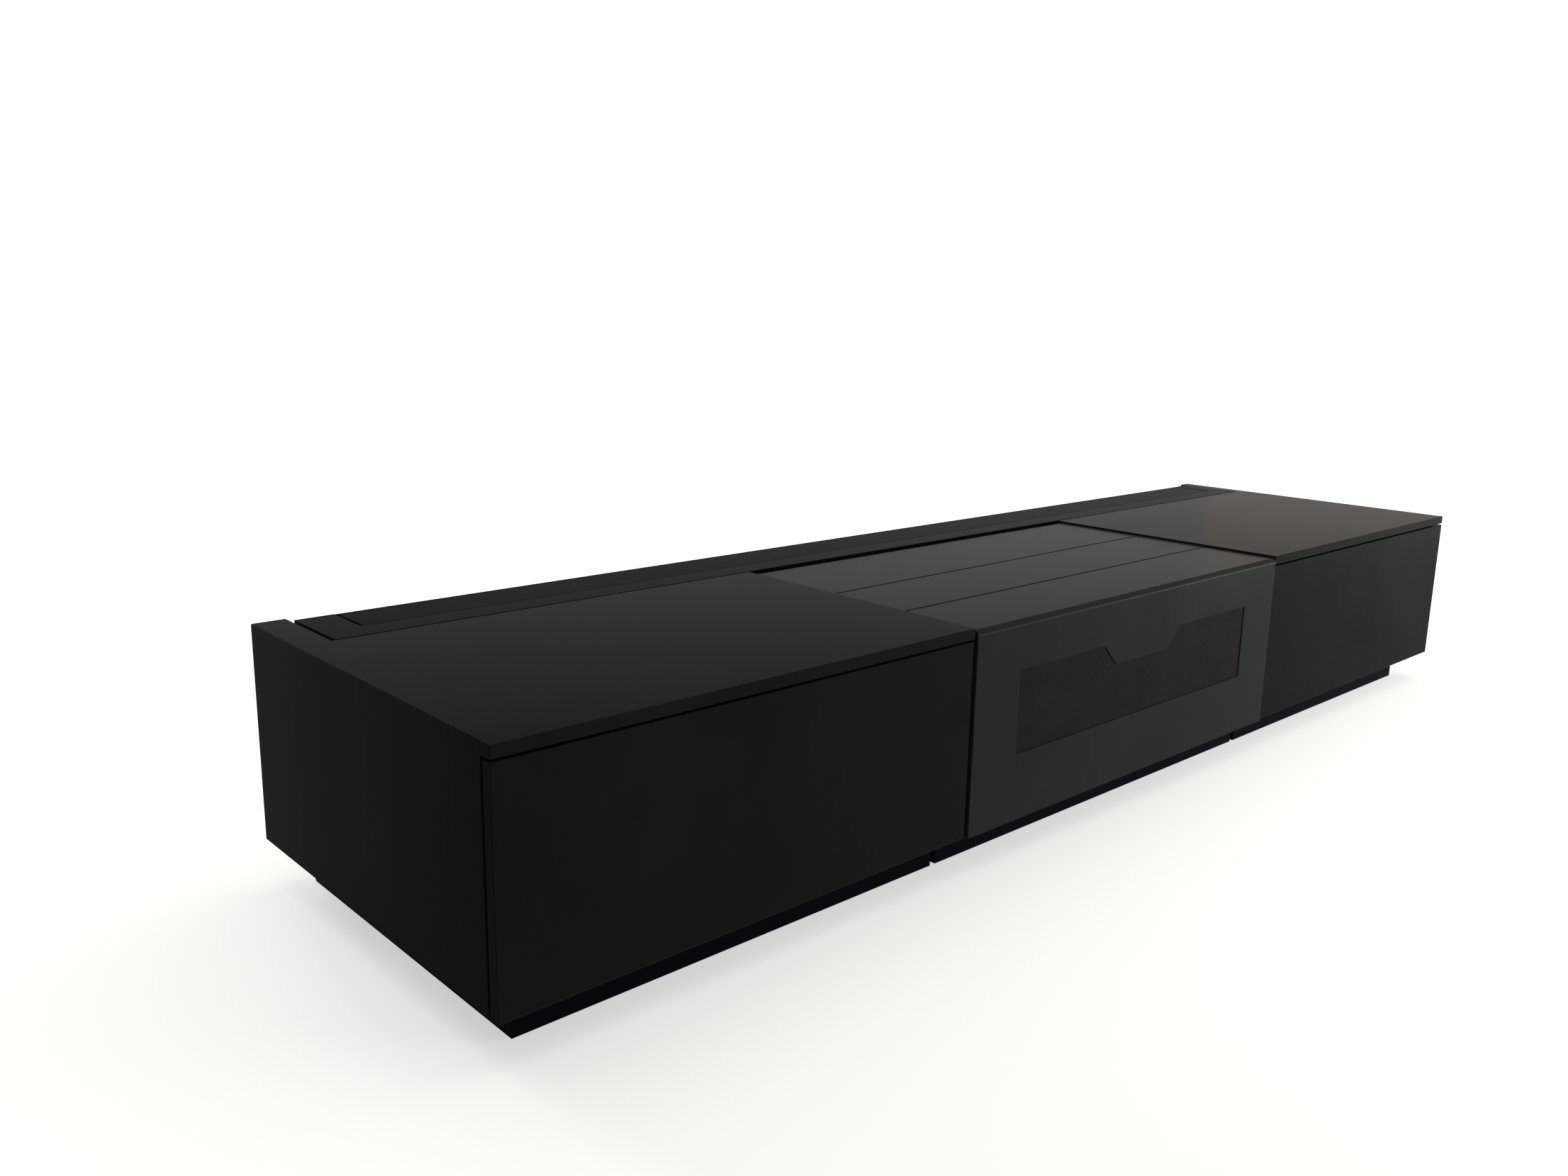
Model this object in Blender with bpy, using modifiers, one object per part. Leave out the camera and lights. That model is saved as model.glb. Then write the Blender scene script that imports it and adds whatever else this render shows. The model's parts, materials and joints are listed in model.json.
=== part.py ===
"""Motorized projector cabinet: three low bays, two drawers, a rack-driven projector tray
and a projection screen that two folding arms lift out of the rear channel.

Metres, +Z up, fronts facing -Y, origin on the floor under the middle of the cabinet.
"""

import math

import bmesh
import bpy
from mathutils import Matrix, Vector

# Cabinet
WIDTH = 2.400
DEPTH = 0.640
HEIGHT = 0.374
BOARD = 0.016
GAP = 0.0003
SEAM = 0.001
EASED = 0.0006
BAY_HALF = 0.433
FRONT_SETBACK = 0.020
CHANNEL_FRONT = 0.1675
CENTER_BACK_FRONT = 0.142
BOTTOM_REAR = 0.300
PLINTH_HEIGHT = 0.060
PLINTH_SIDE_INSET = 0.047
PLINTH_FRONT_INSET = 0.055
PLINTH_JOINT_INSET = 0.010
PLINTH_REAR = 0.270
COVER_PROUD = 0.003
COVER_DROP = 0.0035
NOTCH_GAPS = (0.006, 0.004)

# Cable opening in the middle back and in the cradle behind it
GATE_X = (0.160, 0.320)
GATE_Z = (0.153, 0.196)
GATE_RADIUS = 0.021

# Bent sheet of the middle bay
SHEET = 0.0015
COVER_HALF = 0.4295
COVER_BOTTOM = 0.0577
COVER_BEND = 0.009
BEND_STEPS = 8
COVER_STRIP_REAR = -0.177
COVER_RETURN = 0.014
PLATE_HALF = BAY_HALF - GAP
PLATE_FLANGE = 0.025
PLATE_BEND = 0.0022
PLATE_SPANS = ((-0.174, -0.027), (-0.026, 0.160))

# Window in the metal front, and the tab on its upper edge
WINDOW_HALF = 0.327
WINDOW_TOP = HEIGHT - 0.079
WINDOW_BOTTOM = HEIGHT - 0.210
WINDOW_CORNER = 0.001
TAB_DEPTH = 0.0355
TAB_TOP_HALF = 0.111
TAB_LOW_HALF = 0.0755
TAB_TOP_RADIUS = 0.012
TAB_LOW_RADIUS = 0.015
GRILLE_SHEET = 0.0008
GRILLE_SIDE_MARGIN = 0.008
GRILLE_EDGE_MARGIN = 0.007
GRILLE_COLUMNS = 34
GRILLE_ROWS = 7
GRILLE_OPEN_SHARE = 0.66

# Projector tray
TRAY_HALF = 0.413
TRAY_FLOOR = 0.1333
TRAY_SHEET = 0.002
TRAY_BEND = 0.0015
TRAY_REAR = 0.125
TRAY_SIDE_TOP = 0.190
TRAY_FRONT_TOP = 0.1555
TRAY_REAR_TOP = 0.160
TRAY_REAR_CORNER = 0.012
VENT_COUNT = (6, 3)
VENT_SIZE = (0.070, 0.008)
VENT_PITCH = (0.115, 0.045)
VENT_FIRST_Y = -0.060

# Three-member rails: where each web stands, how far its lips reach, and its inset up and down
RAIL_FRONT = -0.290
RAIL_REAR = 0.130
RAIL_LOW = 0.140
RAIL_HIGH = 0.185
RAIL_MEMBERS = {
    "tray_rail_fixed": (-BAY_HALF + GAP, 0.0162, 0.0, 1),
    "tray_rail_mid": (-BAY_HALF + 0.003, 0.0125, 0.0024, 1),
    "tray_rail_inner": (-TRAY_HALF - GAP, 0.0137, 0.0054, -1),
}

# Rack and pinion
MODULE = 0.0025
PINION_TEETH = 16
PRESSURE_ANGLE = math.radians(20)
ADDENDUM = 0.9 * MODULE
DEDENDUM = 1.25 * MODULE
TOOTH_EASE = 0.000075
FLANK_STEPS = 4
SHAFT_Y = -0.220
SHAFT_Z = 0.103
SHAFT_RADIUS = 0.006
SHAFT_CHAMFER = 0.001
SHAFT_PAST_GEAR = 0.008
PITCH_RADIUS = MODULE * PINION_TEETH / 2
RACK_TEETH = 44
RACK_FIRST = -3
RACK_END = 0.002
GEAR_WIDTH = 0.014
GEAR_X = 0.314

# Bracket of the cross shaft, and its gear motor
BRACKET_SHEET = 0.003
BRACKET_Y = (-0.245, -0.150)
EAR_X = 0.2985
EAR_REAR_TOP = -0.190
EAR_TOP = 0.122
EAR_RADIUS = 0.012
EAR_INSET = 0.001
GEARBOX_X = (-0.055, -0.022)
GEARBOX_Y = (-0.2455, -0.1600)
GEARBOX_TOP = 0.1275
GEARBOX_FOOT_RADIUS = 0.004
GEARBOX_TOP_RADIUS = 0.020
CAN_X = (-0.024, 0.064)
CAN_Y = -0.184
CAN_Z = 0.1035
CAN_RADIUS = 0.0205
CAN_SHOULDER = (0.004, 0.0175)
CAN_BOSS = (0.014, 0.008)

# Control box in the rear channel, with its mains inlet
CONTROL_X = (-0.280, -0.100)
CONTROL_Y = (0.196, 0.286)
CONTROL_Z = (0.0796, 0.128)
CONTROL_EASED = 0.003
INLET_X = (-0.262, -0.238)
INLET_Z = (0.088, 0.104)
INLET_RADIUS = 0.004
INLET_DEPTH = 0.010

# Drawers
DRAWER_EDGE = 0.4345
DRAWER_FRONT_TOP = 0.355
DRAWER_REAR = 0.110
SIDE_LOW = 0.092
SIDE_HIGH = 0.262
SIDE_CLEARANCE = 0.0132
SIDE_SHEET = 0.0012
SIDE_FOOT = 0.016
HOOK_REACH = 0.0095
HOOK_DEPTH = 0.014
DRAWER_BACK = 0.012
DRAWER_BACK_DROP = 0.012
DRAWER_BOTTOM = 0.008
RUNNER_LIP = 0.0085
RUNNER_LOW = SIDE_HIGH - 0.034
RUNNER_WEB_TOP = SIDE_HIGH - 0.004
RUNNER_LIP_TOP = SIDE_HIGH - 0.0022
RUNNER_SETBACK = 0.004

# Housing of the screen in the rear channel
SCREEN_LEFT = -1.146
SCREEN_RIGHT = 1.166
SCREEN_FRONT = 0.1715
SCREEN_REAR = 0.3050
SCREEN_LOW = 0.204
SCREEN_TOP = 0.3735
SCREEN_WALL = 0.0025
SCREEN_CHAMFER = 0.002
LIP_REAR = 0.2175
LIP_DEPTH = 0.014
CAP_PLATE = 0.0027
CAP_CROWN = 0.010
CAP_GAP = 0.002

# Roller and film
ROLL_Y = 0.2105
ROLL_Z = 0.250
ROLL_RADIUS = 0.033
TUBE_RADIUS = 0.030
JOURNAL_RADIUS = 0.006
JOURNAL_BORE = 0.0065
JOURNAL_ENDS = (0.045, 0.030)
FILM_LEFT = -1.045
FILM_RIGHT = 1.085
FILM_THICKNESS = 0.0006
FILM_GAP = 0.0006

# Top bar of the screen, which is the lid strip at rest
BAR_LEFT = -1.0845
BAR_RIGHT = 1.1245
BAR_FRONT = 0.2210
BAR_REAR = 0.3000
BAR_LOW = 0.330
TAB_FOOT_HALF = 0.018
TAB_ROOT_HALF = 0.030
TAB_FOOT_DROP = 0.014
TAB_FOOT_RADIUS = 0.008
TAB_OVERLAP = 0.004

# Folding arms
ARM_CENTER = 0.020
ARM_SPREAD = 0.060
ARM_LENGTH = 1.000
ARM_Z = 0.300
ARM_HALF_HEIGHT = 0.015
ARM_THICKNESS = 0.009
ARM_LOWER_Y = 0.262
ARM_UPPER_Y = 0.275
ARM_END_STEPS = 8
POCKET_HALF_HEIGHT = 0.0085
POCKET_RADIUS = 0.003
POCKET_DEPTH = 0.002
POCKET_END = 0.050
PIN_RADIUS = 0.005
PIN_CLEARANCE = 0.0004
PIN_OVERLAP = 0.003
PIN_PROUD = 0.001
SLOT_TRAVEL = 0.040

# Bracket of the arms and cradle under the housing
SHOULDER_SHEET = 0.003
SHOULDER_GAP = 0.002
SHOULDER_EDGE = 0.018
SHOULDER_FLARE = 0.020
SHOULDER_RISE = 0.016
SHOULDER_RADIUS = 0.012
SHOULDER_FOOT_REAR = SCREEN_REAR - 0.008
CRADLE_SHEET = 0.003
CRADLE_END = 0.040
CRADLE_Y = (SCREEN_FRONT + 0.012, SCREEN_REAR - 0.013)
RIB_INSET = 0.001
RIB_FOOT_REACH = 0.020
RIB_TOP_REACH = 0.030
RIB_END_INSET = 0.010
RIB_INNER_X = 0.420

# How far a cutter reaches past what it cuts
CUT = 0.010

DOOR_Y = -DEPTH / 2 + COVER_PROUD
REAR_Y = DEPTH / 2
CARCASS_Y = DOOR_Y + FRONT_SETBACK
FLOOR_TOP = PLINTH_HEIGHT + BOARD
TOP_LOW = HEIGHT - BOARD
COVER_TOP = HEIGHT - COVER_DROP
COVER_Y = -DEPTH / 2
BACK_REAR = CHANNEL_FRONT - SEAM

COLOURS = {
    "black_board": ((0.010, 0.010, 0.0095), 0.45, 0.0),
    "black_plinth": ((0.004, 0.004, 0.006), 0.6, 0.0),
    "coated_steel": ((0.038, 0.039, 0.036), 0.5, 0.0),
    "grille_steel": ((0.034, 0.035, 0.032), 0.5, 0.0),
    "zinc_steel": ((0.48, 0.50, 0.53), 0.36, 1.0),
    "gear_steel": ((0.36, 0.38, 0.39), 0.32, 1.0),
    "rack_polymer": ((0.66, 0.64, 0.58), 0.42, 0.0),
    "drawer_steel": ((0.072, 0.074, 0.080), 0.48, 0.0),
    "drawer_board": ((0.026, 0.026, 0.023), 0.6, 0.0),
    "screen_alloy": ((0.012, 0.013, 0.013), 0.45, 0.4),
    "cap_plastic": ((0.011, 0.011, 0.011), 0.6, 0.0),
    "roll_film": ((0.010, 0.010, 0.010), 0.7, 0.0),
    "arm_alloy": ((0.11, 0.12, 0.13), 0.36, 0.8),
    "motor_steel": ((0.15, 0.155, 0.16), 0.4, 0.4),
    "control_plastic": ((0.011, 0.011, 0.011), 0.6, 0.0),
}

AXIS_TURNS = {
    "X": Matrix(((0, 0, 1), (1, 0, 0), (0, 1, 0))).to_4x4(),
    "Y": Matrix(((1, 0, 0), (0, 0, -1), (0, 1, 0))).to_4x4(),
    "Z": Matrix.Identity(4),
}
SHARP_ABOVE = math.radians(35)
WELD = 0.000001


def clear_scene():
    for old in list(bpy.data.objects):
        bpy.data.objects.remove(old, do_unlink=True)


def new_collection(name):
    made = bpy.data.collections.new(name)
    bpy.context.scene.collection.children.link(made)
    return made


def material(name):
    """The finish of this name from COLOURS, made once."""
    if name in bpy.data.materials:
        return bpy.data.materials[name]
    made = bpy.data.materials.new(name)
    made.use_nodes = True
    color, roughness, metallic = COLOURS[name]
    shader = made.node_tree.nodes["Principled BSDF"]
    shader.inputs["Base Color"].default_value = (*color, 1)
    shader.inputs["Roughness"].default_value = roughness
    shader.inputs["Metallic"].default_value = metallic
    made.diffuse_color = (*color, 1)
    return made


def add(name, mesh, finish, collection):
    made = bpy.data.objects.new(name, mesh)
    collection.objects.link(made)
    if finish:
        mesh.materials.clear()
        mesh.materials.append(material(finish))
    return made


def ease(obj, width):
    """Rounds the arrises of a board or block with one small facet."""
    bevel = obj.modifiers.new("eased_edges", "BEVEL")
    bevel.width = width
    bevel.segments = 1
    bevel.limit_method = "ANGLE"
    bevel.angle_limit = math.radians(40)
    return obj


def block(name, x, y, z, finish, eased=EASED, collection=None):
    """A cuboid between the limits given for each axis."""
    mesh = bpy.data.meshes.new(name)
    shape = bmesh.new()
    bmesh.ops.create_cube(shape, size=1)
    bmesh.ops.scale(shape, vec=(x[1] - x[0], y[1] - y[0], z[1] - z[0]), verts=shape.verts)
    shape.to_mesh(mesh)
    shape.free()
    made = add(name, mesh, finish, collection or PARTS)
    made.location = ((x[0] + x[1]) / 2, (y[0] + y[1]) / 2, (z[0] + z[1]) / 2)
    if eased:
        ease(made, eased)
    return made


def cutter(name, x, y, z):
    """A plain cuboid that cuts, or is joined to, another solid."""
    return block(name, x, y, z, None, 0, CUTTERS)


def baked(obj):
    """The object with its modifiers worked into its mesh, shaded smooth between its sharp edges."""
    bpy.context.view_layer.update()
    graph = bpy.context.evaluated_depsgraph_get()
    mesh = bpy.data.meshes.new_from_object(obj.evaluated_get(graph), depsgraph=graph)
    mesh.name = obj.name
    finish = obj.data.materials[0].name if obj.data.materials else None
    name, place, home = obj.name, obj.matrix_world.copy(), obj.users_collection[0]
    bpy.data.objects.remove(obj, do_unlink=True)
    shape = bmesh.new()
    shape.from_mesh(mesh)
    bmesh.ops.remove_doubles(shape, verts=shape.verts, dist=WELD)
    bmesh.ops.recalc_face_normals(shape, faces=shape.faces)
    shape.to_mesh(mesh)
    shape.free()
    mesh.shade_smooth()
    mesh.set_sharp_from_angle(angle=SHARP_ABOVE)
    made = add(name, mesh, finish, home)
    made.matrix_world = place
    return made


def extruded(name, loops, axis, span, finish, collection=None):
    """A flat outline, with its holes, drawn square to an axis and given the span's thickness."""
    curve = bpy.data.curves.new(name, "CURVE")
    curve.dimensions = "2D"
    curve.fill_mode = "BOTH"
    curve.extrude = (span[1] - span[0]) / 2
    for loop in loops:
        spline = curve.splines.new("POLY")
        spline.points.add(len(loop) - 1)
        for point, (u, v) in zip(spline.points, loop):
            point.co = (u, v, 0, 1)
        spline.use_cyclic_u = True
    made = add(name, curve, None, collection or PARTS)
    middle = (span[0] + span[1]) / 2
    offset = {"X": (middle, 0, 0), "Y": (0, middle, 0), "Z": (0, 0, middle)}[axis]
    made.matrix_world = Matrix.Translation(offset) @ AXIS_TURNS[axis]
    made = baked(made)
    if finish:
        made.data.materials.append(material(finish))
    return settled(made)


def folded(name, path, axis, span, thickness, finish, side):
    """Bent sheet: a path square to an axis, swept over the span and thickened to one side of it."""
    mesh = bpy.data.meshes.new(name)
    shape = bmesh.new()
    turn = AXIS_TURNS[axis]
    lift = {"X": Vector((1, 0, 0)), "Y": Vector((0, 1, 0)), "Z": Vector((0, 0, 1))}[axis]
    verts = [shape.verts.new(turn @ Vector((u, v, 0)) + lift * span[0]) for u, v in path]
    edges = [shape.edges.new(pair) for pair in zip(verts, verts[1:])]
    swept = bmesh.ops.extrude_edge_only(shape, edges=edges)["geom"]
    moved = [part for part in swept if isinstance(part, bmesh.types.BMVert)]
    bmesh.ops.translate(shape, verts=moved, vec=lift * (span[1] - span[0]))
    shape.to_mesh(mesh)
    shape.free()
    made = add(name, mesh, finish, PARTS)
    solid = made.modifiers.new("sheet", "SOLIDIFY")
    solid.thickness = thickness
    solid.offset = side
    solid.use_even_offset = True
    return settled(made)


def turned(name, profile, axis_start, finish, segments=24, collection=None):
    """A profile of (distance along X, radius) points turned about an axis parallel to X."""
    mesh = bpy.data.meshes.new(name)
    shape = bmesh.new()
    verts = [shape.verts.new((x, 0, radius)) for x, radius in reversed(profile)]
    for pair in zip(verts, verts[1:]):
        shape.edges.new(pair)
    shape.to_mesh(mesh)
    shape.free()
    made = add(name, mesh, finish, collection or PARTS)
    made.location = axis_start
    screw = made.modifiers.new("turned", "SCREW")
    screw.axis = "X"
    screw.steps = segments
    screw.render_steps = segments
    screw.use_merge_vertices = True
    screw.merge_threshold = 0.0001
    return baked(made)


def pin(name, center, radius, y):
    """A round pin along Y, to be joined to a piece."""
    return extruded(name, [round_loop(center, radius)], "Y", y, None, CUTTERS)


def settled(obj, point=None):
    """The object with its origin at a point, or else in the middle of its mesh."""
    obj.data.transform(obj.matrix_world)
    if point is None:
        corners = [vert.co for vert in obj.data.vertices]
        lows = [min(corner[axis] for corner in corners) for axis in range(3)]
        highs = [max(corner[axis] for corner in corners) for axis in range(3)]
        point = (Vector(lows) + Vector(highs)) / 2
    obj.data.transform(Matrix.Translation(-Vector(point)))
    obj.matrix_world = Matrix.Translation(point)
    return obj


def boolean(obj, other, operation):
    """Cuts with, or joins, another solid and works the result into the mesh."""
    step = obj.modifiers.new(operation.lower(), "BOOLEAN")
    step.operation = operation
    step.solver = "EXACT"
    step.object = other
    made = baked(obj)
    bpy.data.objects.remove(other, do_unlink=True)
    return made


def cut(obj, tool):
    return boolean(obj, tool, "DIFFERENCE")


def join(obj, other):
    return boolean(obj, other, "UNION")


def mirrored(obj, name):
    """The right-hand piece of a left-hand one."""
    left = baked(obj)
    flipped = left.data.copy()
    flipped.name = name
    flipped.transform(Matrix.Scale(-1, 4, (1, 0, 0)) @ left.matrix_world)
    flipped.flip_normals()
    return settled(add(name, flipped, None, PARTS))


def round_loop(center, radius, segments=20):
    turns = (math.tau * step / segments for step in range(segments))
    return [(center[0] + radius * math.cos(a), center[1] + radius * math.sin(a)) for a in turns]


def arc(center, radius, start, end, steps):
    """Points of an arc between two angles in degrees."""
    turns = (math.radians(start + (end - start) * step / steps) for step in range(steps + 1))
    return [(center[0] + radius * math.cos(a), center[1] + radius * math.sin(a)) for a in turns]


def shrunk(u, v, wall):
    """Two spans, each drawn in by a wall thickness at both ends."""
    return (u[0] + wall, u[1] - wall), (v[0] + wall, v[1] - wall)


def rectangle(u, v):
    return [(u[0], v[0]), (u[1], v[0]), (u[1], v[1]), (u[0], v[1])]


def oblong(u, v, radius):
    """A rectangle with rounded corners."""
    return rounded([(*corner, radius) for corner in rectangle(u, v)])


def rounded(corners, segments=4):
    """A closed outline of (u, v, radius) corners, each turned into an arc of its radius."""
    outline = []
    count = len(corners)
    for index, (u, v, radius) in enumerate(corners):
        here = Vector((u, v))
        if radius == 0:
            outline.append(tuple(here))
            continue
        before = (Vector(corners[index - 1][:2]) - here).normalized()
        after = (Vector(corners[(index + 1) % count][:2]) - here).normalized()
        half = before.angle(after) / 2
        reach = radius / math.tan(half)
        center = here + (before + after).normalized() * radius / math.sin(half)
        start, end = here + before * reach - center, here + after * reach - center
        sweep = start.angle_signed(end)
        for step in range(segments + 1):
            turn = Matrix.Rotation(-sweep * step / segments, 2)
            outline.append(tuple(center + turn @ start))
    return outline


def slot_loop(u, v, steps=6):
    """An upright slot with round ends, from its limits across and up."""
    radius = (u[1] - u[0]) / 2
    middle = (u[0] + u[1]) / 2
    top = arc((middle, v[1] - radius), radius, 0, 180, steps)
    low = arc((middle, v[0] + radius), radius, 180, 360, steps)
    return top + low


def build_carcass():
    """The boards of the left bay, mirrored to the right, and those of the middle bay."""
    for left in build_left_bay():
        mirrored(left, left.name.replace("left_", "right_"))
    for name, side, screen_end, gap in (
        ("left_top_panel", -1, SCREEN_LEFT, NOTCH_GAPS[0]),
        ("right_top_panel", 1, SCREEN_RIGHT, NOTCH_GAPS[1]),
    ):
        top_panel(name, side, screen_end + side * gap)
    middle = (-BAY_HALF + GAP, BAY_HALF - GAP)
    floor = (PLINTH_HEIGHT, FLOOR_TOP)
    block("center_bottom_panel", middle, (CARCASS_Y, BOTTOM_REAR), floor, "black_board")
    plinth_ring("center_plinth", (-BAY_HALF + SEAM, BAY_HALF - SEAM))
    back_z = (FLOOR_TOP + GAP, COVER_TOP - PLATE_FLANGE - GAP)
    back_y = (CENTER_BACK_FRONT, CENTER_BACK_FRONT + BOARD)
    outlines = [rectangle(middle, back_z), gate_outline()]
    extruded("center_back_panel", outlines, "Y", back_y, "black_board")


def build_left_bay():
    """The left bay's side, inner, bottom and back boards and its plinth."""
    outer, inner_face = -WIDTH / 2, -BAY_HALF
    inside = (outer + BOARD + GAP, inner_face - BOARD - GAP)
    wall_z = (PLINTH_HEIGHT, TOP_LOW - GAP)
    mitre = [
        (outer, PLINTH_HEIGHT),
        (outer + BOARD, PLINTH_HEIGHT),
        (outer + BOARD, TOP_LOW - GAP),
        (outer, HEIGHT - GAP),
    ]
    side = extruded("left_side_panel", [mitre], "Y", (CARCASS_Y, REAR_Y), "black_board")
    inner_x = (inner_face - BOARD, inner_face)
    return (
        ease(side, EASED),
        block("left_inner_panel", inner_x, (CARCASS_Y, BACK_REAR), wall_z, "black_board"),
        block(
            "left_bottom_panel",
            inside,
            (CARCASS_Y, BOTTOM_REAR),
            (PLINTH_HEIGHT, FLOOR_TOP),
            "black_board",
        ),
        block(
            "left_back_panel",
            inside,
            (BACK_REAR - BOARD, BACK_REAR),
            (FLOOR_TOP + GAP, TOP_LOW - GAP),
            "black_board",
        ),
        plinth_ring("left_plinth", (outer + PLINTH_SIDE_INSET, inner_face - PLINTH_JOINT_INSET)),
    )


def gate_outline():
    """The round-ended cable opening that the middle back and the cradle share, in (x, z)."""
    return oblong(GATE_X, GATE_Z, GATE_RADIUS)


def plinth_ring(name, x):
    """A recessed plinth section: a closed frame of boards on edge."""
    y = (DOOR_Y + PLINTH_FRONT_INSET, PLINTH_REAR)
    loops = [rectangle(x, y), rectangle(*shrunk(x, y, BOARD))]
    return extruded(name, loops, "Z", (0, PLINTH_HEIGHT - GAP), "black_plinth")


def top_panel(name, side, notch_x):
    """A side top: mitred to the side panel, notched at the rear for the screen housing."""
    outer = side * WIDTH / 2
    inner = side * BAY_HALF
    outline = [
        (outer, DOOR_Y),
        (inner, DOOR_Y),
        (inner, CHANNEL_FRONT),
        (notch_x, CHANNEL_FRONT),
        (notch_x, REAR_Y),
        (outer, REAR_Y),
    ]
    panel = extruded(name, [outline], "Z", (TOP_LOW, HEIGHT), "black_board")
    wedge = [
        (outer + side * CUT, TOP_LOW - CUT),
        (outer - side * (BOARD + CUT), TOP_LOW - CUT),
        (outer + side * CUT, HEIGHT + CUT),
    ]
    behind_front = (CARCASS_Y - GAP, REAR_Y + CUT)
    panel = cut(panel, extruded("mitre_wedge", [wedge], "Y", behind_front, None, CUTTERS))
    return ease(panel, EASED)


def cover_section(inset, depth):
    """The metal front in section: strip, rounded bend and front, as a band of the given depth."""
    top, rear = COVER_TOP - inset, COVER_STRIP_REAR - inset
    front, foot = COVER_Y + inset, COVER_BOTTOM + inset
    radius = COVER_BEND - inset
    bend = arc((front + radius, top - radius), radius, 90, 180, BEND_STEPS)
    inner_y, inner_z = COVER_Y + depth, COVER_TOP - depth
    return [(rear, inner_z), (rear, top)] + bend + [(front, foot), (inner_y, foot), (inner_y, inner_z)]


def window_outline():
    """The window in (x, z): a long rectangle with the tab hanging from its upper edge."""
    tab_low = WINDOW_TOP - TAB_DEPTH
    return rounded(
        [
            (-WINDOW_HALF, WINDOW_BOTTOM, WINDOW_CORNER),
            (WINDOW_HALF, WINDOW_BOTTOM, WINDOW_CORNER),
            (WINDOW_HALF, WINDOW_TOP, WINDOW_CORNER),
            (TAB_TOP_HALF, WINDOW_TOP, TAB_TOP_RADIUS),
            (TAB_LOW_HALF, tab_low, TAB_LOW_RADIUS),
            (-TAB_LOW_HALF, tab_low, TAB_LOW_RADIUS),
            (-TAB_TOP_HALF, WINDOW_TOP, TAB_TOP_RADIUS),
            (-WINDOW_HALF, WINDOW_TOP, WINDOW_CORNER),
        ],
        segments=5,
    )


def build_covers():
    """The one-piece metal front with its window, the fine grille, and the two plates behind it."""
    band = cover_section(0, COVER_RETURN)
    front = extruded("front_cover", [band], "X", (-COVER_HALF, COVER_HALF), "coated_steel")
    hollow = cover_section(SHEET, COVER_RETURN + CUT)
    half = COVER_HALF - SHEET
    front = cut(front, extruded("hollow", [hollow], "X", (-half, half), None, CUTTERS))
    through = (COVER_Y - CUT, COVER_Y + CUT)
    cut(front, extruded("window", [window_outline()], "Y", through, None, CUTTERS))
    build_grille()
    for name, (near, far) in zip(("cover_plate_front", "cover_plate_rear"), PLATE_SPANS):
        cover_plate(name, near, far)


def build_grille():
    """Perforated sheet: a grid of bars with its holes left out, made solid."""
    half = WINDOW_HALF + GRILLE_SIDE_MARGIN
    low, high = WINDOW_BOTTOM - GRILLE_EDGE_MARGIN, WINDOW_TOP + GRILLE_EDGE_MARGIN
    wide = hole_lines(GRILLE_COLUMNS, -half, half)
    tall = hole_lines(GRILLE_ROWS, low, high)
    columns, rows = len(wide) - 1, len(tall) - 1
    mesh = bpy.data.meshes.new("grille_mesh")
    shape = bmesh.new()
    bmesh.ops.create_grid(shape, x_segments=columns, y_segments=rows, size=0.5)
    for vert in shape.verts:
        column = round((vert.co.x + 0.5) * columns)
        row = round((vert.co.y + 0.5) * rows)
        vert.co = (wide[column], tall[row], 0)
    holes = [face for face in shape.faces if is_hole(face, wide, tall)]
    bmesh.ops.delete(shape, geom=holes, context="FACES_ONLY")
    shape.to_mesh(mesh)
    shape.free()
    made = add("grille_mesh", mesh, "grille_steel", PARTS)
    made.matrix_world = Matrix.Translation((0, COVER_Y + SHEET + GAP, 0)) @ AXIS_TURNS["Y"]
    solid = made.modifiers.new("sheet", "SOLIDIFY")
    solid.thickness = GRILLE_SHEET
    solid.offset = -1
    return made


def hole_lines(count, low, high):
    """Grid lines across the holes and bars: a bar, then a hole and a bar for each hole."""
    hole = (high - low) / (count + 0.5) * GRILLE_OPEN_SHARE
    bar = (high - low - count * hole) / (count + 1)
    lines = [low]
    for _ in range(count):
        lines.append(lines[-1] + bar)
        lines.append(lines[-1] + hole)
    return lines + [high]


def is_hole(face, wide, tall):
    middle = face.calc_center_median()
    column = sum(1 for line in wide if line < middle.x) - 1
    row = sum(1 for line in tall if line < middle.y) - 1
    return column % 2 == 1 and row % 2 == 1


def cover_plate(name, near, far):
    """A folded top plate: flanges turned down on all four edges."""
    x, y = (-PLATE_HALF, PLATE_HALF), (near, far)
    low = COVER_TOP - PLATE_FLANGE
    plate = block(name, x, y, (low, COVER_TOP), "coated_steel", 0)
    bevel = plate.modifiers.new("bend", "BEVEL")
    bevel.width = PLATE_BEND
    bevel.segments = 2
    bevel.limit_method = "ANGLE"
    return cut(plate, cutter("inside", *shrunk(x, y, SHEET), (low - CUT, COVER_TOP - SHEET)))


def build_tray():
    """The projector tray: a folded pan, cut down in front and behind, with vent slots in its floor."""
    x, y = (-TRAY_HALF, TRAY_HALF), (COVER_Y + SHEET + GAP, TRAY_REAR)
    pan = block("tray_pan", x, y, (TRAY_FLOOR, TRAY_SIDE_TOP), "coated_steel", TRAY_BEND)
    above = TRAY_SIDE_TOP + CUT
    reliefs = [
        (*shrunk(x, y, TRAY_SHEET), (TRAY_FLOOR + TRAY_SHEET, above)),
        ((x[0] - CUT, x[1] + CUT), (y[0] - CUT, RAIL_FRONT), (TRAY_FRONT_TOP, above)),
        (
            (x[0] + TRAY_REAR_CORNER, x[1] - TRAY_REAR_CORNER),
            (y[1] - CUT, y[1] + CUT),
            (TRAY_REAR_TOP, above),
        ),
    ]
    for relief in reliefs + vent_slots():
        pan = cut(pan, cutter("relief", *relief))


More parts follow.
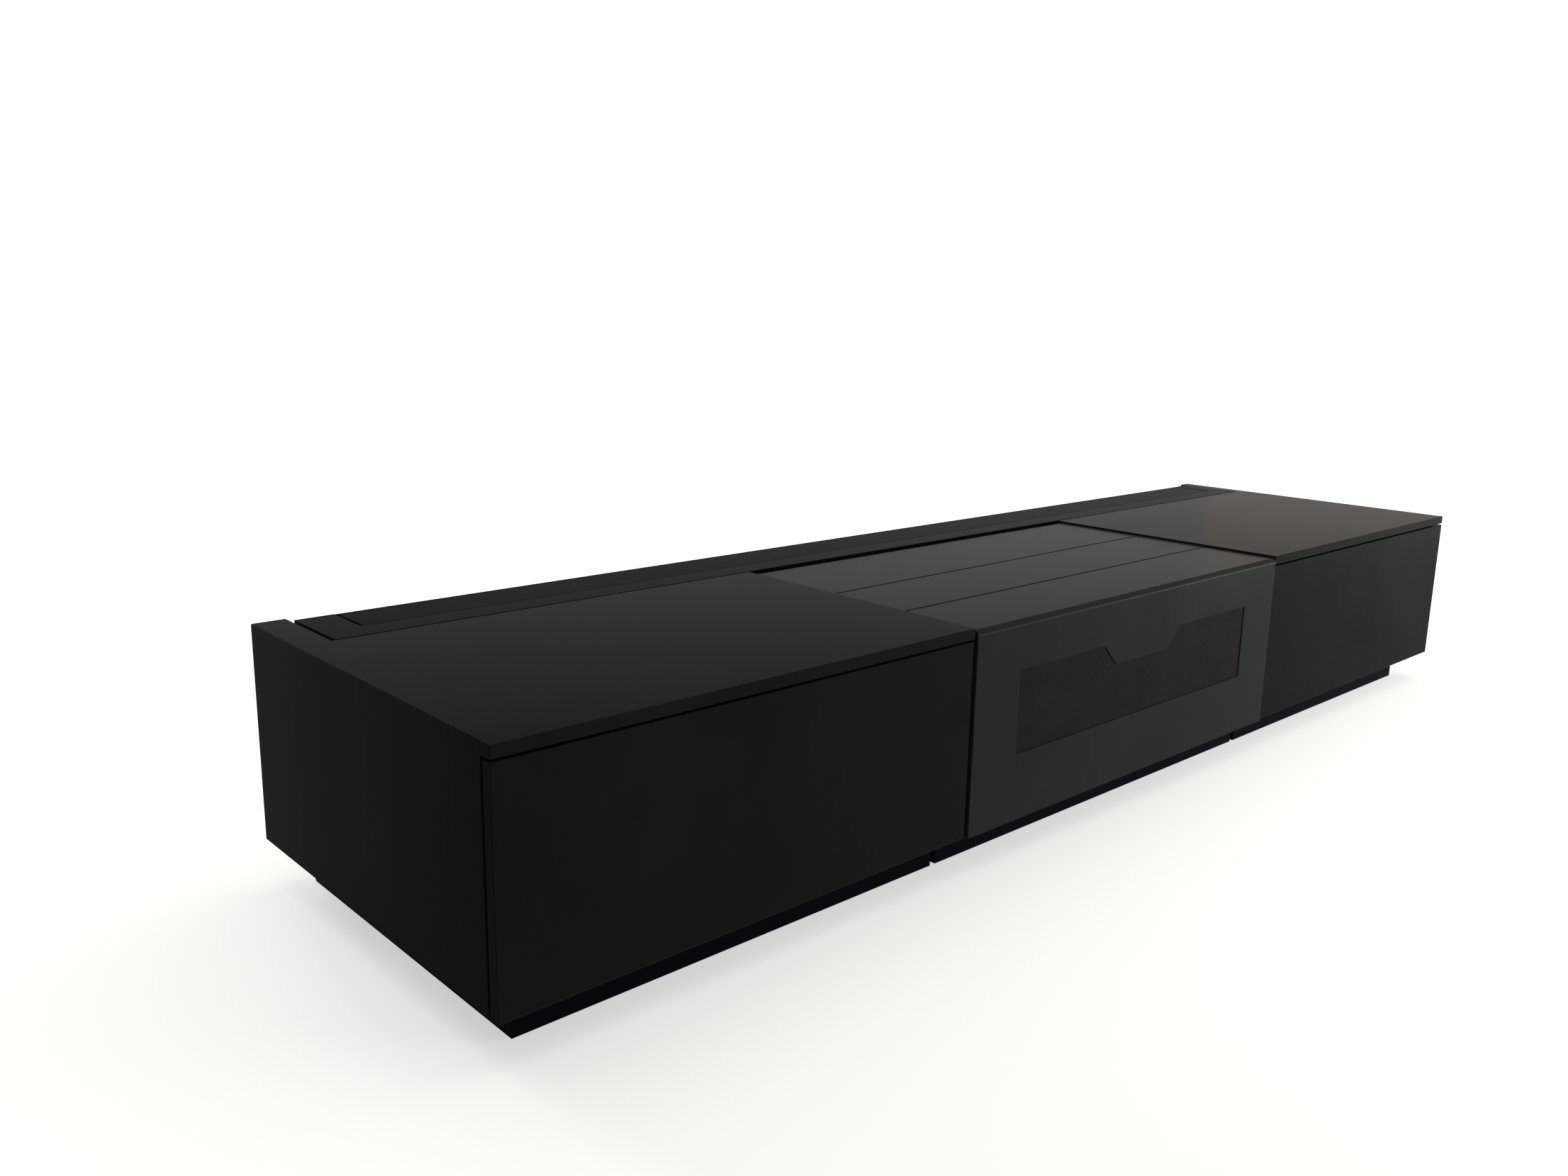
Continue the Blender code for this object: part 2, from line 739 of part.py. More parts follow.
def vent_slots():
    """The x, y and z spans of the slots in the tray's floor."""
    (columns, rows), (length, width), (across, along) = VENT_COUNT, VENT_SIZE, VENT_PITCH
    slots = []
    for column in range(columns):
        for row in range(rows):
            x = (column - (columns - 1) / 2) * across
            y = VENT_FIRST_Y + row * along
            span_x, span_y = (x - length / 2, x + length / 2), (y - width / 2, y + width / 2)
            slots.append((span_x, span_y, (TRAY_FLOOR - CUT, TRAY_FLOOR + CUT)))
    return slots


def build_rails():
    """The three members of each tray rail: one on the bay's wall, one between, one on the tray."""
    for stem, (web, reach, inset, side) in RAIL_MEMBERS.items():
        low, high = RAIL_LOW + inset, RAIL_HIGH - inset
        lip = web + side * reach
        path = [(lip, low), (web, low), (web, high), (lip, high)]
        rail = folded(stem + "_left", path, "Y", (RAIL_FRONT, RAIL_REAR), SHEET, "zinc_steel", side)
        mirrored(rail, stem + "_right")


def involute(radius, base):
    """The angle that an involute has turned through where it reaches a radius."""
    slope = math.sqrt(max((radius / base) ** 2 - 1, 0))
    return slope - math.atan(slope)


def pinion_outline():
    """Involute teeth in (y, z), with one tooth pointing straight up."""
    base = PITCH_RADIUS * math.cos(PRESSURE_ANGLE)
    root = PITCH_RADIUS - DEDENDUM
    tip = PITCH_RADIUS + ADDENDUM
    half_tooth = math.pi / (2 * PINION_TEETH) - TOOTH_EASE / PITCH_RADIUS
    half_at_base = half_tooth + involute(PITCH_RADIUS, base)
    radii = [base + (tip - base) * step / FLANK_STEPS for step in range(FLANK_STEPS + 1)]
    flank = [(root, half_at_base)] + [(r, half_at_base - involute(r, base)) for r in radii]
    outline = []
    for tooth in range(PINION_TEETH):
        middle = math.pi / 2 - math.tau * tooth / PINION_TEETH
        turns = [(r, middle + a) for r, a in flank] + [(r, middle - a) for r, a in reversed(flank)]
        outline += [(SHAFT_Y + r * math.cos(a), SHAFT_Z + r * math.sin(a)) for r, a in turns]
    return outline


def rack_outline():
    """Straight-flanked teeth in (y, z), pointing down, with a space over the pinion's top tooth."""
    pitch_line = SHAFT_Z + PITCH_RADIUS
    pitch = math.pi * MODULE
    tip, root = pitch_line - ADDENDUM, pitch_line + DEDENDUM
    half = pitch / 4 - TOOTH_EASE
    half_tip = half - ADDENDUM * math.tan(PRESSURE_ANGLE)
    half_root = half + DEDENDUM * math.tan(PRESSURE_ANGLE)
    teeth = []
    for tooth in range(RACK_FIRST, RACK_FIRST + RACK_TEETH):
        middle = SHAFT_Y + (tooth + 0.5) * pitch
        teeth += [(middle - half_root, root), (middle - half_tip, tip)]
        teeth += [(middle + half_tip, tip), (middle + half_root, root)]
    back = TRAY_FLOOR - GAP
    front_end, rear_end = teeth[0][0] - RACK_END, teeth[-1][0] + RACK_END
    return teeth + [(rear_end, root), (rear_end, back), (front_end, back), (front_end, root)]


def shaft_bore():
    return round_loop((SHAFT_Y, SHAFT_Z), SHAFT_RADIUS + PIN_CLEARANCE)


def build_drive():
    """A rack under each side of the tray, and the cross shaft with a pinion at each end."""
    gear_span = (-GEAR_X - GEAR_WIDTH / 2, -GEAR_X + GEAR_WIDTH / 2)
    rack = extruded("drive_rack_left", [rack_outline()], "X", gear_span, "rack_polymer")
    mirrored(rack, "drive_rack_right")
    loops = [pinion_outline(), shaft_bore()]
    pinion = extruded("drive_pinion_left", loops, "X", gear_span, "gear_steel")
    mirrored(pinion, "drive_pinion_right")
    end = GEAR_X + GEAR_WIDTH / 2 + SHAFT_PAST_GEAR
    left_end = [(-end, 0), (-end, SHAFT_RADIUS - SHAFT_CHAMFER), (-end + SHAFT_CHAMFER, SHAFT_RADIUS)]
    right_end = [(-x, radius) for x, radius in reversed(left_end)]
    turned("drive_shaft", left_end + right_end, (0, SHAFT_Y, SHAFT_Z), "gear_steel", 20)


def build_drive_bracket():
    """One pressing: a base with an upright ear and shaft hole at each end."""
    low = FLOOR_TOP + GAP
    half = EAR_X + BRACKET_SHEET
    base_z = (low, low + BRACKET_SHEET)
    bracket = block("drive_bracket", (-half, half), BRACKET_Y, base_z, "zinc_steel", 0)
    front, rear = BRACKET_Y[0] + EAR_INSET, BRACKET_Y[1] - EAR_INSET
    foot = low + EAR_INSET
    ear = rounded(
        [
            (front, foot, 0),
            (rear, foot, 0),
            (EAR_REAR_TOP, EAR_TOP, EAR_RADIUS),
            (front, EAR_TOP, EAR_RADIUS),
        ]
    )
    for side in (-1, 1):
        x = (side * EAR_X - BRACKET_SHEET / 2, side * EAR_X + BRACKET_SHEET / 2)
        bracket = join(bracket, extruded("ear", [ear, shaft_bore()], "X", x, None, CUTTERS))


def build_motor():
    """A parallel-shaft gear motor: flat gearbox round the shaft, motor can beside it."""
    low = FLOOR_TOP + GAP + BRACKET_SHEET + GAP
    front, rear = GEARBOX_Y
    outline = rounded(
        [
            (front, low, GEARBOX_FOOT_RADIUS),
            (rear, low, GEARBOX_FOOT_RADIUS),
            (rear, GEARBOX_TOP, GEARBOX_TOP_RADIUS),
            (front, GEARBOX_TOP, GEARBOX_TOP_RADIUS),
        ]
    )
    gearbox = extruded("gear_motor", [outline, shaft_bore()], "X", GEARBOX_X, "motor_steel")
    start, end = CAN_X
    shoulder, boss = end + CAN_SHOULDER[0], end + CAN_BOSS[0]
    can = [(start, 0), (start, CAN_RADIUS), (end, CAN_RADIUS), (shoulder, CAN_SHOULDER[1])]
    can += [(shoulder, CAN_BOSS[1]), (boss, CAN_BOSS[1]), (boss, 0)]
    join(gearbox, turned("can", can, (0, CAN_Y, CAN_Z), None, 20, CUTTERS))


def build_control_box():
    """The box of the drives' electronics, with the recess of its mains inlet facing the rear."""
    box = block("control_box", CONTROL_X, CONTROL_Y, CONTROL_Z, "control_plastic", CONTROL_EASED)
    recess = oblong(INLET_X, INLET_Z, INLET_RADIUS)
    depth = (CONTROL_Y[1] - INLET_DEPTH, CONTROL_Y[1] + CUT)
    cut(box, extruded("inlet", [recess], "Y", depth, None, CUTTERS))


def build_drawers():
    """A steel-sided drawer in the left bay, hooked over its runners, and its mirror image."""
    left, right = -WIDTH / 2 + BOARD, -BAY_HALF - BOARD
    walls = (left + SIDE_CLEARANCE, right - SIDE_CLEARANCE)
    y = (DOOR_Y + BOARD + GAP, DRAWER_REAR)
    pieces = [drawer_front(), *drawer_boards(walls, y)]
    for wall, panel, side, tag in ((walls[0], left, 1, "outer"), (walls[1], right, -1, "inner")):
        pieces.append(drawer_side("left_drawer_side_" + tag, wall, side, y))
        pieces.append(drawer_runner("left_runner_" + tag, panel, side))
    for piece in pieces:
        mirrored(piece, piece.name.replace("left_", "right_"))


def drawer_front():
    """The full-overlay board that stands clear of the carcass by the push latch's travel."""
    x, y = (-WIDTH / 2, -DRAWER_EDGE), (DOOR_Y, DOOR_Y + BOARD)
    return block("left_drawer_front", x, y, (PLINTH_HEIGHT, DRAWER_FRONT_TOP), "black_board")


def drawer_boards(walls, y):
    """The drawer's back and bottom boards, between its steel sides."""
    floor = SIDE_LOW + SIDE_SHEET + GAP
    inside = (walls[0] + SIDE_SHEET + GAP, walls[1] - SIDE_SHEET - GAP)
    back_y = (y[1] - DRAWER_BACK, y[1])
    back_z = (floor, SIDE_HIGH - DRAWER_BACK_DROP)
    bottom_y = (y[0], back_y[0] - GAP)
    bottom_z = (floor, floor + DRAWER_BOTTOM)
    return (
        block("left_drawer_back", inside, back_y, back_z, "drawer_board"),
        block("left_drawer_bottom", inside, bottom_y, bottom_z, "drawer_board"),
    )


def drawer_side(name, wall, side, y):
    """A steel side: a foot under the bottom board and a hook over the runner's lip."""
    hook = wall - side * HOOK_REACH
    path = [
        (wall + side * SIDE_FOOT, SIDE_LOW),
        (wall, SIDE_LOW),
        (wall, SIDE_HIGH),
        (hook, SIDE_HIGH),
        (hook, SIDE_HIGH - HOOK_DEPTH),
    ]
    return folded(name, path, "Y", y, SIDE_SHEET, "drawer_steel", side)


def drawer_runner(name, panel, side):
    """A steel runner on the bay's wall, whose raised lip carries the drawer's hook."""
    web, lip = panel + side * GAP, panel + side * RUNNER_LIP
    path = [(web, RUNNER_WEB_TOP), (web, RUNNER_LOW), (lip, RUNNER_LOW), (lip, RUNNER_LIP_TOP)]
    y = (CARCASS_Y + RUNNER_SETBACK, DRAWER_REAR)
    return folded(name, path, "Y", y, SIDE_SHEET, "zinc_steel", -side)


def build_screen():
    """The screen unit: extruded housing with end blocks, roller, film, top bar and arms."""
    build_housing()
    build_roller()
    build_film()
    build_bar()
    for side, tag in ((-1, "left"), (1, "right")):
        build_arm(side, tag)
    build_shoulder_bracket()
    build_cradle()


def build_roller():
    """The roller with the film wound on it, and a journal at each end."""
    start, end = SCREEN_LEFT + JOURNAL_ENDS[0], SCREEN_RIGHT - JOURNAL_ENDS[1]
    left, right = BAR_LEFT + CAP_GAP, BAR_RIGHT - CAP_GAP
    profile = [
        (start, 0),
        (start, JOURNAL_RADIUS),
        (left, JOURNAL_RADIUS),
        (left, TUBE_RADIUS),
        (FILM_LEFT, TUBE_RADIUS),
        (FILM_LEFT, ROLL_RADIUS),
        (FILM_RIGHT, ROLL_RADIUS),
        (FILM_RIGHT, TUBE_RADIUS),
        (right, TUBE_RADIUS),
        (right, JOURNAL_RADIUS),
        (end, JOURNAL_RADIUS),
        (end, 0),
    ]
    turned("fabric_roller", profile, (0, ROLL_Y, ROLL_Z), "roll_film", 32)


def build_film():
    """The stretch of film that runs up from the roller to the top bar at rest."""
    x, near = (FILM_LEFT, FILM_RIGHT), ROLL_Y + ROLL_RADIUS + FILM_GAP
    y = (near, near + FILM_THICKNESS)
    block("screen_film", x, y, (ROLL_Z, SCREEN_TOP - SCREEN_WALL - GAP), "roll_film", 0)


def build_housing():
    """Extruded channel with a front lip, and the moulded blocks that close its ends."""
    x = (SCREEN_LEFT + CAP_PLATE + GAP, SCREEN_RIGHT - CAP_PLATE - GAP)
    path = [
        (LIP_REAR, SCREEN_TOP - LIP_DEPTH),
        (LIP_REAR, SCREEN_TOP),
        (SCREEN_FRONT + SCREEN_CHAMFER, SCREEN_TOP),
        (SCREEN_FRONT, SCREEN_TOP - SCREEN_CHAMFER),
        (SCREEN_FRONT, SCREEN_LOW),
        (SCREEN_REAR, SCREEN_LOW),
        (SCREEN_REAR, SCREEN_TOP),
    ]
    folded("screen_housing", path, "X", x, SCREEN_WALL, "screen_alloy", 1)
    end_block("screen_cap_left", 1, SCREEN_LEFT, BAR_LEFT - CAP_GAP, SCREEN_LEFT + JOURNAL_ENDS[0])
    end_block("screen_cap_right", -1, SCREEN_RIGHT, BAR_RIGHT + CAP_GAP, SCREEN_RIGHT - JOURNAL_ENDS[1])


def end_block(name, side, outer, inner, journal_end):
    """One end block: a plate, a plug inside the channel, a crown up to the lid, and a journal bore."""
    wall = SCREEN_WALL + GAP
    plate_x = sorted((outer, outer + side * CAP_PLATE))
    plug_x = sorted((outer + side * CAP_PLATE / 2, inner))
    high = SCREEN_TOP - wall - LIP_DEPTH
    plug_y, plug_z = (SCREEN_FRONT + wall, SCREEN_REAR - wall), (SCREEN_LOW + wall, high)
    crown_y, crown_z = (BAR_FRONT, SCREEN_REAR - wall), (high - CAP_CROWN, SCREEN_TOP)
    plate_y, plate_z = (SCREEN_FRONT, SCREEN_REAR), (SCREEN_LOW, SCREEN_TOP)
    made = block(name, plate_x, plate_y, plate_z, "cap_plastic", 0)
    made = join(made, cutter("plug", plug_x, plug_y, plug_z))
    made = join(made, cutter("crown", plug_x, crown_y, crown_z))
    near, far = sorted((journal_end - side * SEAM, inner + side * CUT))
    bore = [(near, 0), (near, JOURNAL_BORE), (far, JOURNAL_BORE), (far, 0)]
    return cut(made, turned("journal", bore, (0, ROLL_Y, ROLL_Z), None, 20, CUTTERS))


def build_bar():
    """The top bar, which is the lid at rest: a channel with a slotted tab for each arm."""
    x, y = (BAR_LEFT, BAR_RIGHT), (BAR_FRONT, BAR_REAR)
    bar = block("screen_bar", x, y, (BAR_LOW, SCREEN_TOP), "screen_alloy", 0)
    inside_z = (BAR_LOW - CUT, SCREEN_TOP - SCREEN_WALL)
    bar = cut(bar, cutter("inside", *shrunk(x, y, SCREEN_WALL), inside_z))
    wall = (BAR_REAR - SCREEN_WALL, BAR_REAR)
    half = PIN_RADIUS + PIN_CLEARANCE
    foot, root = ARM_Z - TAB_FOOT_DROP, BAR_LOW + TAB_OVERLAP
    for side in (-1, 1):
        pivot = ARM_CENTER + side * ARM_SPREAD
        tab = rounded(
            [
                (pivot - TAB_FOOT_HALF, foot, TAB_FOOT_RADIUS),
                (pivot + TAB_FOOT_HALF, foot, TAB_FOOT_RADIUS),
                (pivot + TAB_ROOT_HALF, root, 0),
                (pivot - TAB_ROOT_HALF, root, 0),
            ]
        )
        bar = join(bar, extruded("tab", [tab], "Y", wall, None, CUTTERS))
        slot = slot_loop((pivot - half, pivot + half), (ARM_Z - half, ARM_Z + half + SLOT_TRAVEL))
        bar = cut(bar, extruded("slot", [slot], "Y", (wall[0] - CUT, wall[1] + CUT), None, CUTTERS))


def link_outline(start, end):
    """A straight link in (x, z) with round ends about its two pivots."""
    left, right = min(start, end), max(start, end)
    far = arc((right, ARM_Z), ARM_HALF_HEIGHT, -90, 90, ARM_END_STEPS)
    near = arc((left, ARM_Z), ARM_HALF_HEIGHT, 90, 270, ARM_END_STEPS)
    return far + near


def build_link(name, start, end, hole_x, y):
    """One link of an arm, holed at one pivot, with a long milled pocket in each face."""
    hole = round_loop((hole_x, ARM_Z), PIN_RADIUS + PIN_CLEARANCE)
    link = extruded(name, [link_outline(start, end), hole], "Y", y, "arm_alloy")
    x = (min(start, end) + POCKET_END, max(start, end) - POCKET_END)
    z = (ARM_Z - POCKET_HALF_HEIGHT, ARM_Z + POCKET_HALF_HEIGHT)
    pocket = oblong(x, z, POCKET_RADIUS)
    for depth in ((y[0] - CUT, y[0] + POCKET_DEPTH), (y[1] - POCKET_DEPTH, y[1] + CUT)):
        link = cut(link, extruded("pocket", [pocket], "Y", depth, None, CUTTERS))
    return link


def build_arm(side, tag):
    """An elbow arm: the lower link turns on the shoulder, the upper one carries the top bar."""
    lower_y = (ARM_LOWER_Y, ARM_LOWER_Y + ARM_THICKNESS)
    upper_y = (ARM_UPPER_Y, ARM_UPPER_Y + ARM_THICKNESS)
    shoulder = ARM_CENTER + side * ARM_SPREAD
    elbow = shoulder + side * ARM_LENGTH
    lower = build_link("arm_lower_" + tag, shoulder, elbow, shoulder, lower_y)
    elbow_y = (lower_y[1] - PIN_OVERLAP, upper_y[1] + PIN_OVERLAP)
    lower = join(lower, pin("elbow_pin", (elbow, ARM_Z), PIN_RADIUS, elbow_y))
    settled(lower, (shoulder, lower_y[0], ARM_Z))
    upper = build_link("arm_upper_" + tag, shoulder, elbow, elbow, upper_y)
    top_y = (upper_y[1] - PIN_OVERLAP, BAR_REAR + PIN_PROUD)
    upper = join(upper, pin("top_pin", (shoulder, ARM_Z), PIN_RADIUS, top_y))
    settled(upper, (elbow, upper_y[0], ARM_Z))


def build_shoulder_bracket():
    """The plate between the arms' shoulders, with its foot and the two shoulder pins."""
    rear = ARM_LOWER_Y - SHOULDER_GAP
    plate_y = (rear - SHOULDER_SHEET, rear)
    low = SCREEN_LOW + SCREEN_WALL + GAP
    high = ARM_Z + SHOULDER_RISE
    head = ARM_SPREAD + SHOULDER_EDGE
    foot = head + SHOULDER_FLARE
    outline = rounded(
        [
            (ARM_CENTER - foot, low, 0),
            (ARM_CENTER + foot, low, 0),
            (ARM_CENTER + head, high, SHOULDER_RADIUS),
            (ARM_CENTER - head, high, SHOULDER_RADIUS),
        ]
    )
    plate = extruded("shoulder_bracket", [outline], "Y", plate_y, "zinc_steel")
    foot_x = (ARM_CENTER - foot, ARM_CENTER + foot)
    foot_y = (plate_y[0] + SHOULDER_SHEET / 6, SHOULDER_FOOT_REAR)
    plate = join(plate, cutter("foot", foot_x, foot_y, (low, low + SHOULDER_SHEET)))
    pin_y = (plate_y[1] - PIN_OVERLAP, ARM_LOWER_Y + ARM_THICKNESS + PIN_PROUD)
    for side in (-1, 1):
        shoulder = (ARM_CENTER + side * ARM_SPREAD, ARM_Z)
        plate = join(plate, pin("shoulder_pin", shoulder, PIN_RADIUS, pin_y))


def build_cradle():
    """The folded channel under the screen housing, open to the rear, with a rib near each end."""
    x = (SCREEN_LEFT + CRADLE_END, SCREEN_RIGHT - CRADLE_END)
    low, high = FLOOR_TOP + GAP, SCREEN_LOW - GAP
    front, rear = CRADLE_Y
    path = [(rear, low), (front, low), (front, high), (rear, high)]
    cradle = folded("screen_cradle", path, "X", x, CRADLE_SHEET, "zinc_steel", -1)
    rib = [
        (front + RIB_INSET, low + RIB_INSET),
        (rear - RIB_FOOT_REACH, low + RIB_INSET),
        (front + RIB_TOP_REACH, high - RIB_INSET),
        (front + RIB_INSET, high - RIB_INSET),
    ]
    for at in (x[0] + RIB_END_INSET, -RIB_INNER_X, RIB_INNER_X, x[1] - RIB_END_INSET - CRADLE_SHEET):
        cradle = join(cradle, extruded("rib", [rib], "X", (at, at + CRADLE_SHEET), None, CUTTERS))
    through = (front - CUT, front + CUT)
    cut(cradle, extruded("gate", [gate_outline()], "Y", through, None, CUTTERS))


clear_scene()
PARTS = new_collection("projector_cabinet")
CUTTERS = new_collection("cutters")
CUTTERS.hide_render = True
build_carcass()
build_covers()
build_tray()
build_rails()
build_drive()
build_drive_bracket()
build_motor()
build_control_box()
build_drawers()
build_screen()
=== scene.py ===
"""Looks of the motorized projector cabinet: finishes and fine parts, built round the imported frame.

Metres, +Z up, fronts facing -Y, origin on the floor under the middle of the cabinet.
"""
import json
import logging
import math
from dataclasses import dataclass
from enum import Enum, IntEnum
from itertools import product
from typing import Any, Iterable, Sequence

import bmesh
import bpy
from mathutils import Matrix, Vector


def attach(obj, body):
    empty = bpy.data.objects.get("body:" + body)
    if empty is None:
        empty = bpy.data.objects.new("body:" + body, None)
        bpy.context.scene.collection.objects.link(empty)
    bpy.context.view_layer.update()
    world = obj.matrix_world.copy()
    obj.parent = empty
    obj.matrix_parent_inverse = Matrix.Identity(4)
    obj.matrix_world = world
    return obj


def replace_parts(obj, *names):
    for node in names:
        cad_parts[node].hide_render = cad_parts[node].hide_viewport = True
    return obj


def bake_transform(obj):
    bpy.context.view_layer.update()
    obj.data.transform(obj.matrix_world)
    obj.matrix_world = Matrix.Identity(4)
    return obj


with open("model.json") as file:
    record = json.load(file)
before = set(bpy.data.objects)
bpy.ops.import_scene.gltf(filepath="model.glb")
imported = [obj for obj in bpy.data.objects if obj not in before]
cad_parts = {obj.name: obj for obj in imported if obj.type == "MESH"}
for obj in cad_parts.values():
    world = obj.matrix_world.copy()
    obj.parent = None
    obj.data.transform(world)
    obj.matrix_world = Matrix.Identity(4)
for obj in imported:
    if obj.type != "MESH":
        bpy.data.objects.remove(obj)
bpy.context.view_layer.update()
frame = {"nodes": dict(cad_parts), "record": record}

LOG = logging.getLogger("cabinet")
MM = 0.001
LOBES = 6
SMOOTH_BELOW = math.radians(35)
SOFTENED_ABOVE = math.radians(60)
Point = tuple[float, float]
Row = tuple[float, ...]
Points = tuple[Point, ...]
Span = tuple[float, float]
Place = tuple[float, float, float]
Tree = bpy.types.NodeTree
Node = bpy.types.Node
Socket = bpy.types.NodeSocket
Piece = bpy.types.Object


class Axis(Enum):
    """The axis that an outline is drawn square to: where x, y and z stand in (depth, u, v)."""

    X = (0, 1, 2)
    Y = (1, 0, 2)
    Z = (1, 2, 0)

    def points(self, outline: Iterable[Point], depth: float) -> list[Vector]:
        """Returns an outline's points in the world, at a depth along the axis."""
        return [Vector([(depth, *point)[index] for index in self.value]) for point in outline]


class Side(IntEnum):
    """The cabinet's two sides, each with the sign of its X."""

    LEFT = -1
    RIGHT = 1


class Body(Enum):
    """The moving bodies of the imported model."""

    CABINET = "cabinet"
    TRAY = "tray"
    DRIVE = "drive"
    LEFT_DRAWER = "left_drawer"
    RIGHT_DRAWER = "right_drawer"
    SCREEN_BAR = "screen_bar"
    ROLLER = "roller"
    ARM_LOWER_LEFT = "arm_lower_left"
    ARM_LOWER_RIGHT = "arm_lower_right"
    ARM_UPPER_LEFT = "arm_upper_left"
    ARM_UPPER_RIGHT = "arm_upper_right"


def linear(hex_colour: str) -> tuple[float, float, float, float]:
    """Turns an sRGB hex colour into linear RGBA.

    Args:
        hex_colour: Six hex digits, such as "232321".

    Returns:
        Red, green and blue in linear light, and an alpha of one.
    """
    parts = [int(hex_colour[at : at + 2], 16) / 255 for at in (0, 2, 4)]
    light = [part / 12.92 if part <= 0.04045 else ((part + 0.055) / 1.055) ** 2.4 for part in parts]
    return (*light, 1.0)


def add_node(tree: Tree, kind: str, inputs: dict[Any, Any], **settings: Any) -> Node:
    """Adds one shader node with its settings and links.

    Args:
        tree: The node tree that gets the node.
        kind: The node's type name, less its "ShaderNode".
        inputs: For each input, by name or index, its value, or the node or socket that feeds it.
        **settings: The node's own properties.

    Returns:
        The new node.
    """
    made = tree.nodes.new("ShaderNode" + kind)
    for name, value in settings.items():
        setattr(made, name, value)
    for key, value in inputs.items():
        source = value.outputs[0] if isinstance(value, Node) else value
        if isinstance(source, Socket):
            tree.links.new(source, made.inputs[key])
        else:
            made.inputs[key].default_value = source
    return made


def bare_tree(owner: bpy.types.Material | bpy.types.World) -> Tree:
    """Gives a material or a world an empty node tree.

    Args:
        owner: The material or world.

    Returns:
        Its node tree.
    """
    owner.use_nodes = True
    owner.node_tree.nodes.clear()
    return owner.node_tree


# The noises of the colour's soft patches and of the grain, and the part of each one's range that counts.
PATCH_NOISE = {"Detail": 3.0, "Roughness": 0.6}
PATCH_RANGE = {"From Min": 0.35, "From Max": 0.65}
GRAIN_NOISE = {"Detail": 2.0, "Roughness": 0.55}
GRAIN_RANGE = {"From Min": 0.3, "From Max": 0.7}
# How far the wave node turns for each unit of its scale, in radians.
WAVE_TURN = 20


@dataclass(frozen=True)
class Finish:
    """A real material and the way its surface was made.

    Attributes:
        name: What the material is called in a workshop.
        colour, shade: Its sRGB hex colour, and the one that it drifts to in broad soft patches.
        roughness, spread: The middle of the roughness, and how far the grain moves it each way.
        drift_mm, grain_mm, depth_mm: The size of the patches and of the grain, and the grain's height.
        metallic: 1 for bare metal and 0 for a coat or a plastic.
        specular: The shader's specular level, 0.5 for a plain dielectric.
        stretch: How many times longer the grain is along each axis.
        clouds, cloud_mm: How far soft clouds in the gloss move the roughness, 0 for none, and their size.
        ridge_mm, ridge_depth_mm: The pitch of level ridges, 0 for none, and their height.
    """

    name: str
    colour: str
    shade: str
    roughness: float
    drift_mm: float
    grain_mm: float
    depth_mm: float
    spread: float
    metallic: float = 0.0
    specular: float = 0.5
    stretch: Place = (1, 1, 1)
    clouds: float = 0.0
    cloud_mm: float = 20.0
    ridge_mm: float = 0.0
    ridge_depth_mm: float = 0.01

    def material(self) -> bpy.types.Material:
        """Makes the Blender material of this finish, once.

        Returns:
            The material.
        """
        if self.name in bpy.data.materials:
            return bpy.data.materials[self.name]
        made = bpy.data.materials.new(self.name)
        made.diffuse_color = linear(self.colour)
        tree = bare_tree(made)
        shader = add_node(tree, "BsdfPrincipled", self.surface(tree))
        add_node(tree, "OutputMaterial", {"Surface": shader})
        return made

    def surface(self, tree: Tree) -> dict[str, Any]:
        """Draws the surface: drifting colour, grain, gloss and relief.

        Args:
            tree: The material's node tree.

        Returns:
            What goes into each of the shader's inputs.
        """
        place = add_node(tree, "TexCoord", {}).outputs["Object"]
        scale = 1 / (self.drift_mm * MM)
        patches = add_node(tree, "TexNoise", {"Vector": place, "Scale": scale, **PATCH_NOISE})
        share = add_node(tree, "MapRange", {"Value": patches, **PATCH_RANGE})
        colours = {0: share, 6: linear(self.colour), 7: linear(self.shade)}
        tint = add_node(tree, "Mix", colours, data_type="RGBA").outputs[2]
        drawn = add_node(tree, "Mapping", {"Vector": place, "Scale": [1 / along for along in self.stretch]})
        scale = 1 / (self.grain_mm * MM)
        grain = add_node(tree, "TexNoise", {"Vector": drawn, "Scale": scale, **GRAIN_NOISE})
        limits = {"To Min": self.roughness - self.spread, "To Max": self.roughness + self.spread}
        gloss = add_node(tree, "MapRange", {"Value": grain, **GRAIN_RANGE, **limits})
        if self.clouds:
            cells = {"Vector": place, "Scale": 1 / (self.cloud_mm * MM)}
            cells = add_node(tree, "TexVoronoi", cells, feature="SMOOTH_F1")
            lift = add_node(tree, "MapRange", {"Value": cells, "To Min": -self.clouds, "To Max": self.clouds})
            gloss = add_node(tree, "Math", {0: gloss, 1: lift}, operation="ADD")
        normal = add_node(tree, "Bump", {"Height": grain, "Distance": self.depth_mm * MM})
        if self.ridge_mm:
            waves = {"Vector": place, "Scale": math.tau / (WAVE_TURN * self.ridge_mm * MM)}
            ridges = add_node(tree, "TexWave", waves, bands_direction="Z").outputs[1]
            relief = {"Height": ridges, "Distance": self.ridge_depth_mm * MM, "Normal": normal}
            normal = add_node(tree, "Bump", relief)
        return {
            "Base Color": tint,
            "Metallic": self.metallic,
            "Roughness": gloss,
            "Specular IOR Level": self.specular,
            "Normal": normal,
        }


# The real grain of moulded, drawn, turned and plated surfaces is a tenth or two of a millimetre wide, too
# fine to show, so it is drawn 0.5 to 2 mm wide.

# Sprayed lacquer on board, matted with silica: near black, faintly green, with a sheen only at low angles.
# The silica scatters most of the surface's reflection, so the specular level is far under a clear lacquer's.
LACQUERED_BOARD = Finish("matte_lacquered_board", "191b1a", "161817", 0.19, 180, 2.4, 0.008, 0.03, 0, 0.0025)
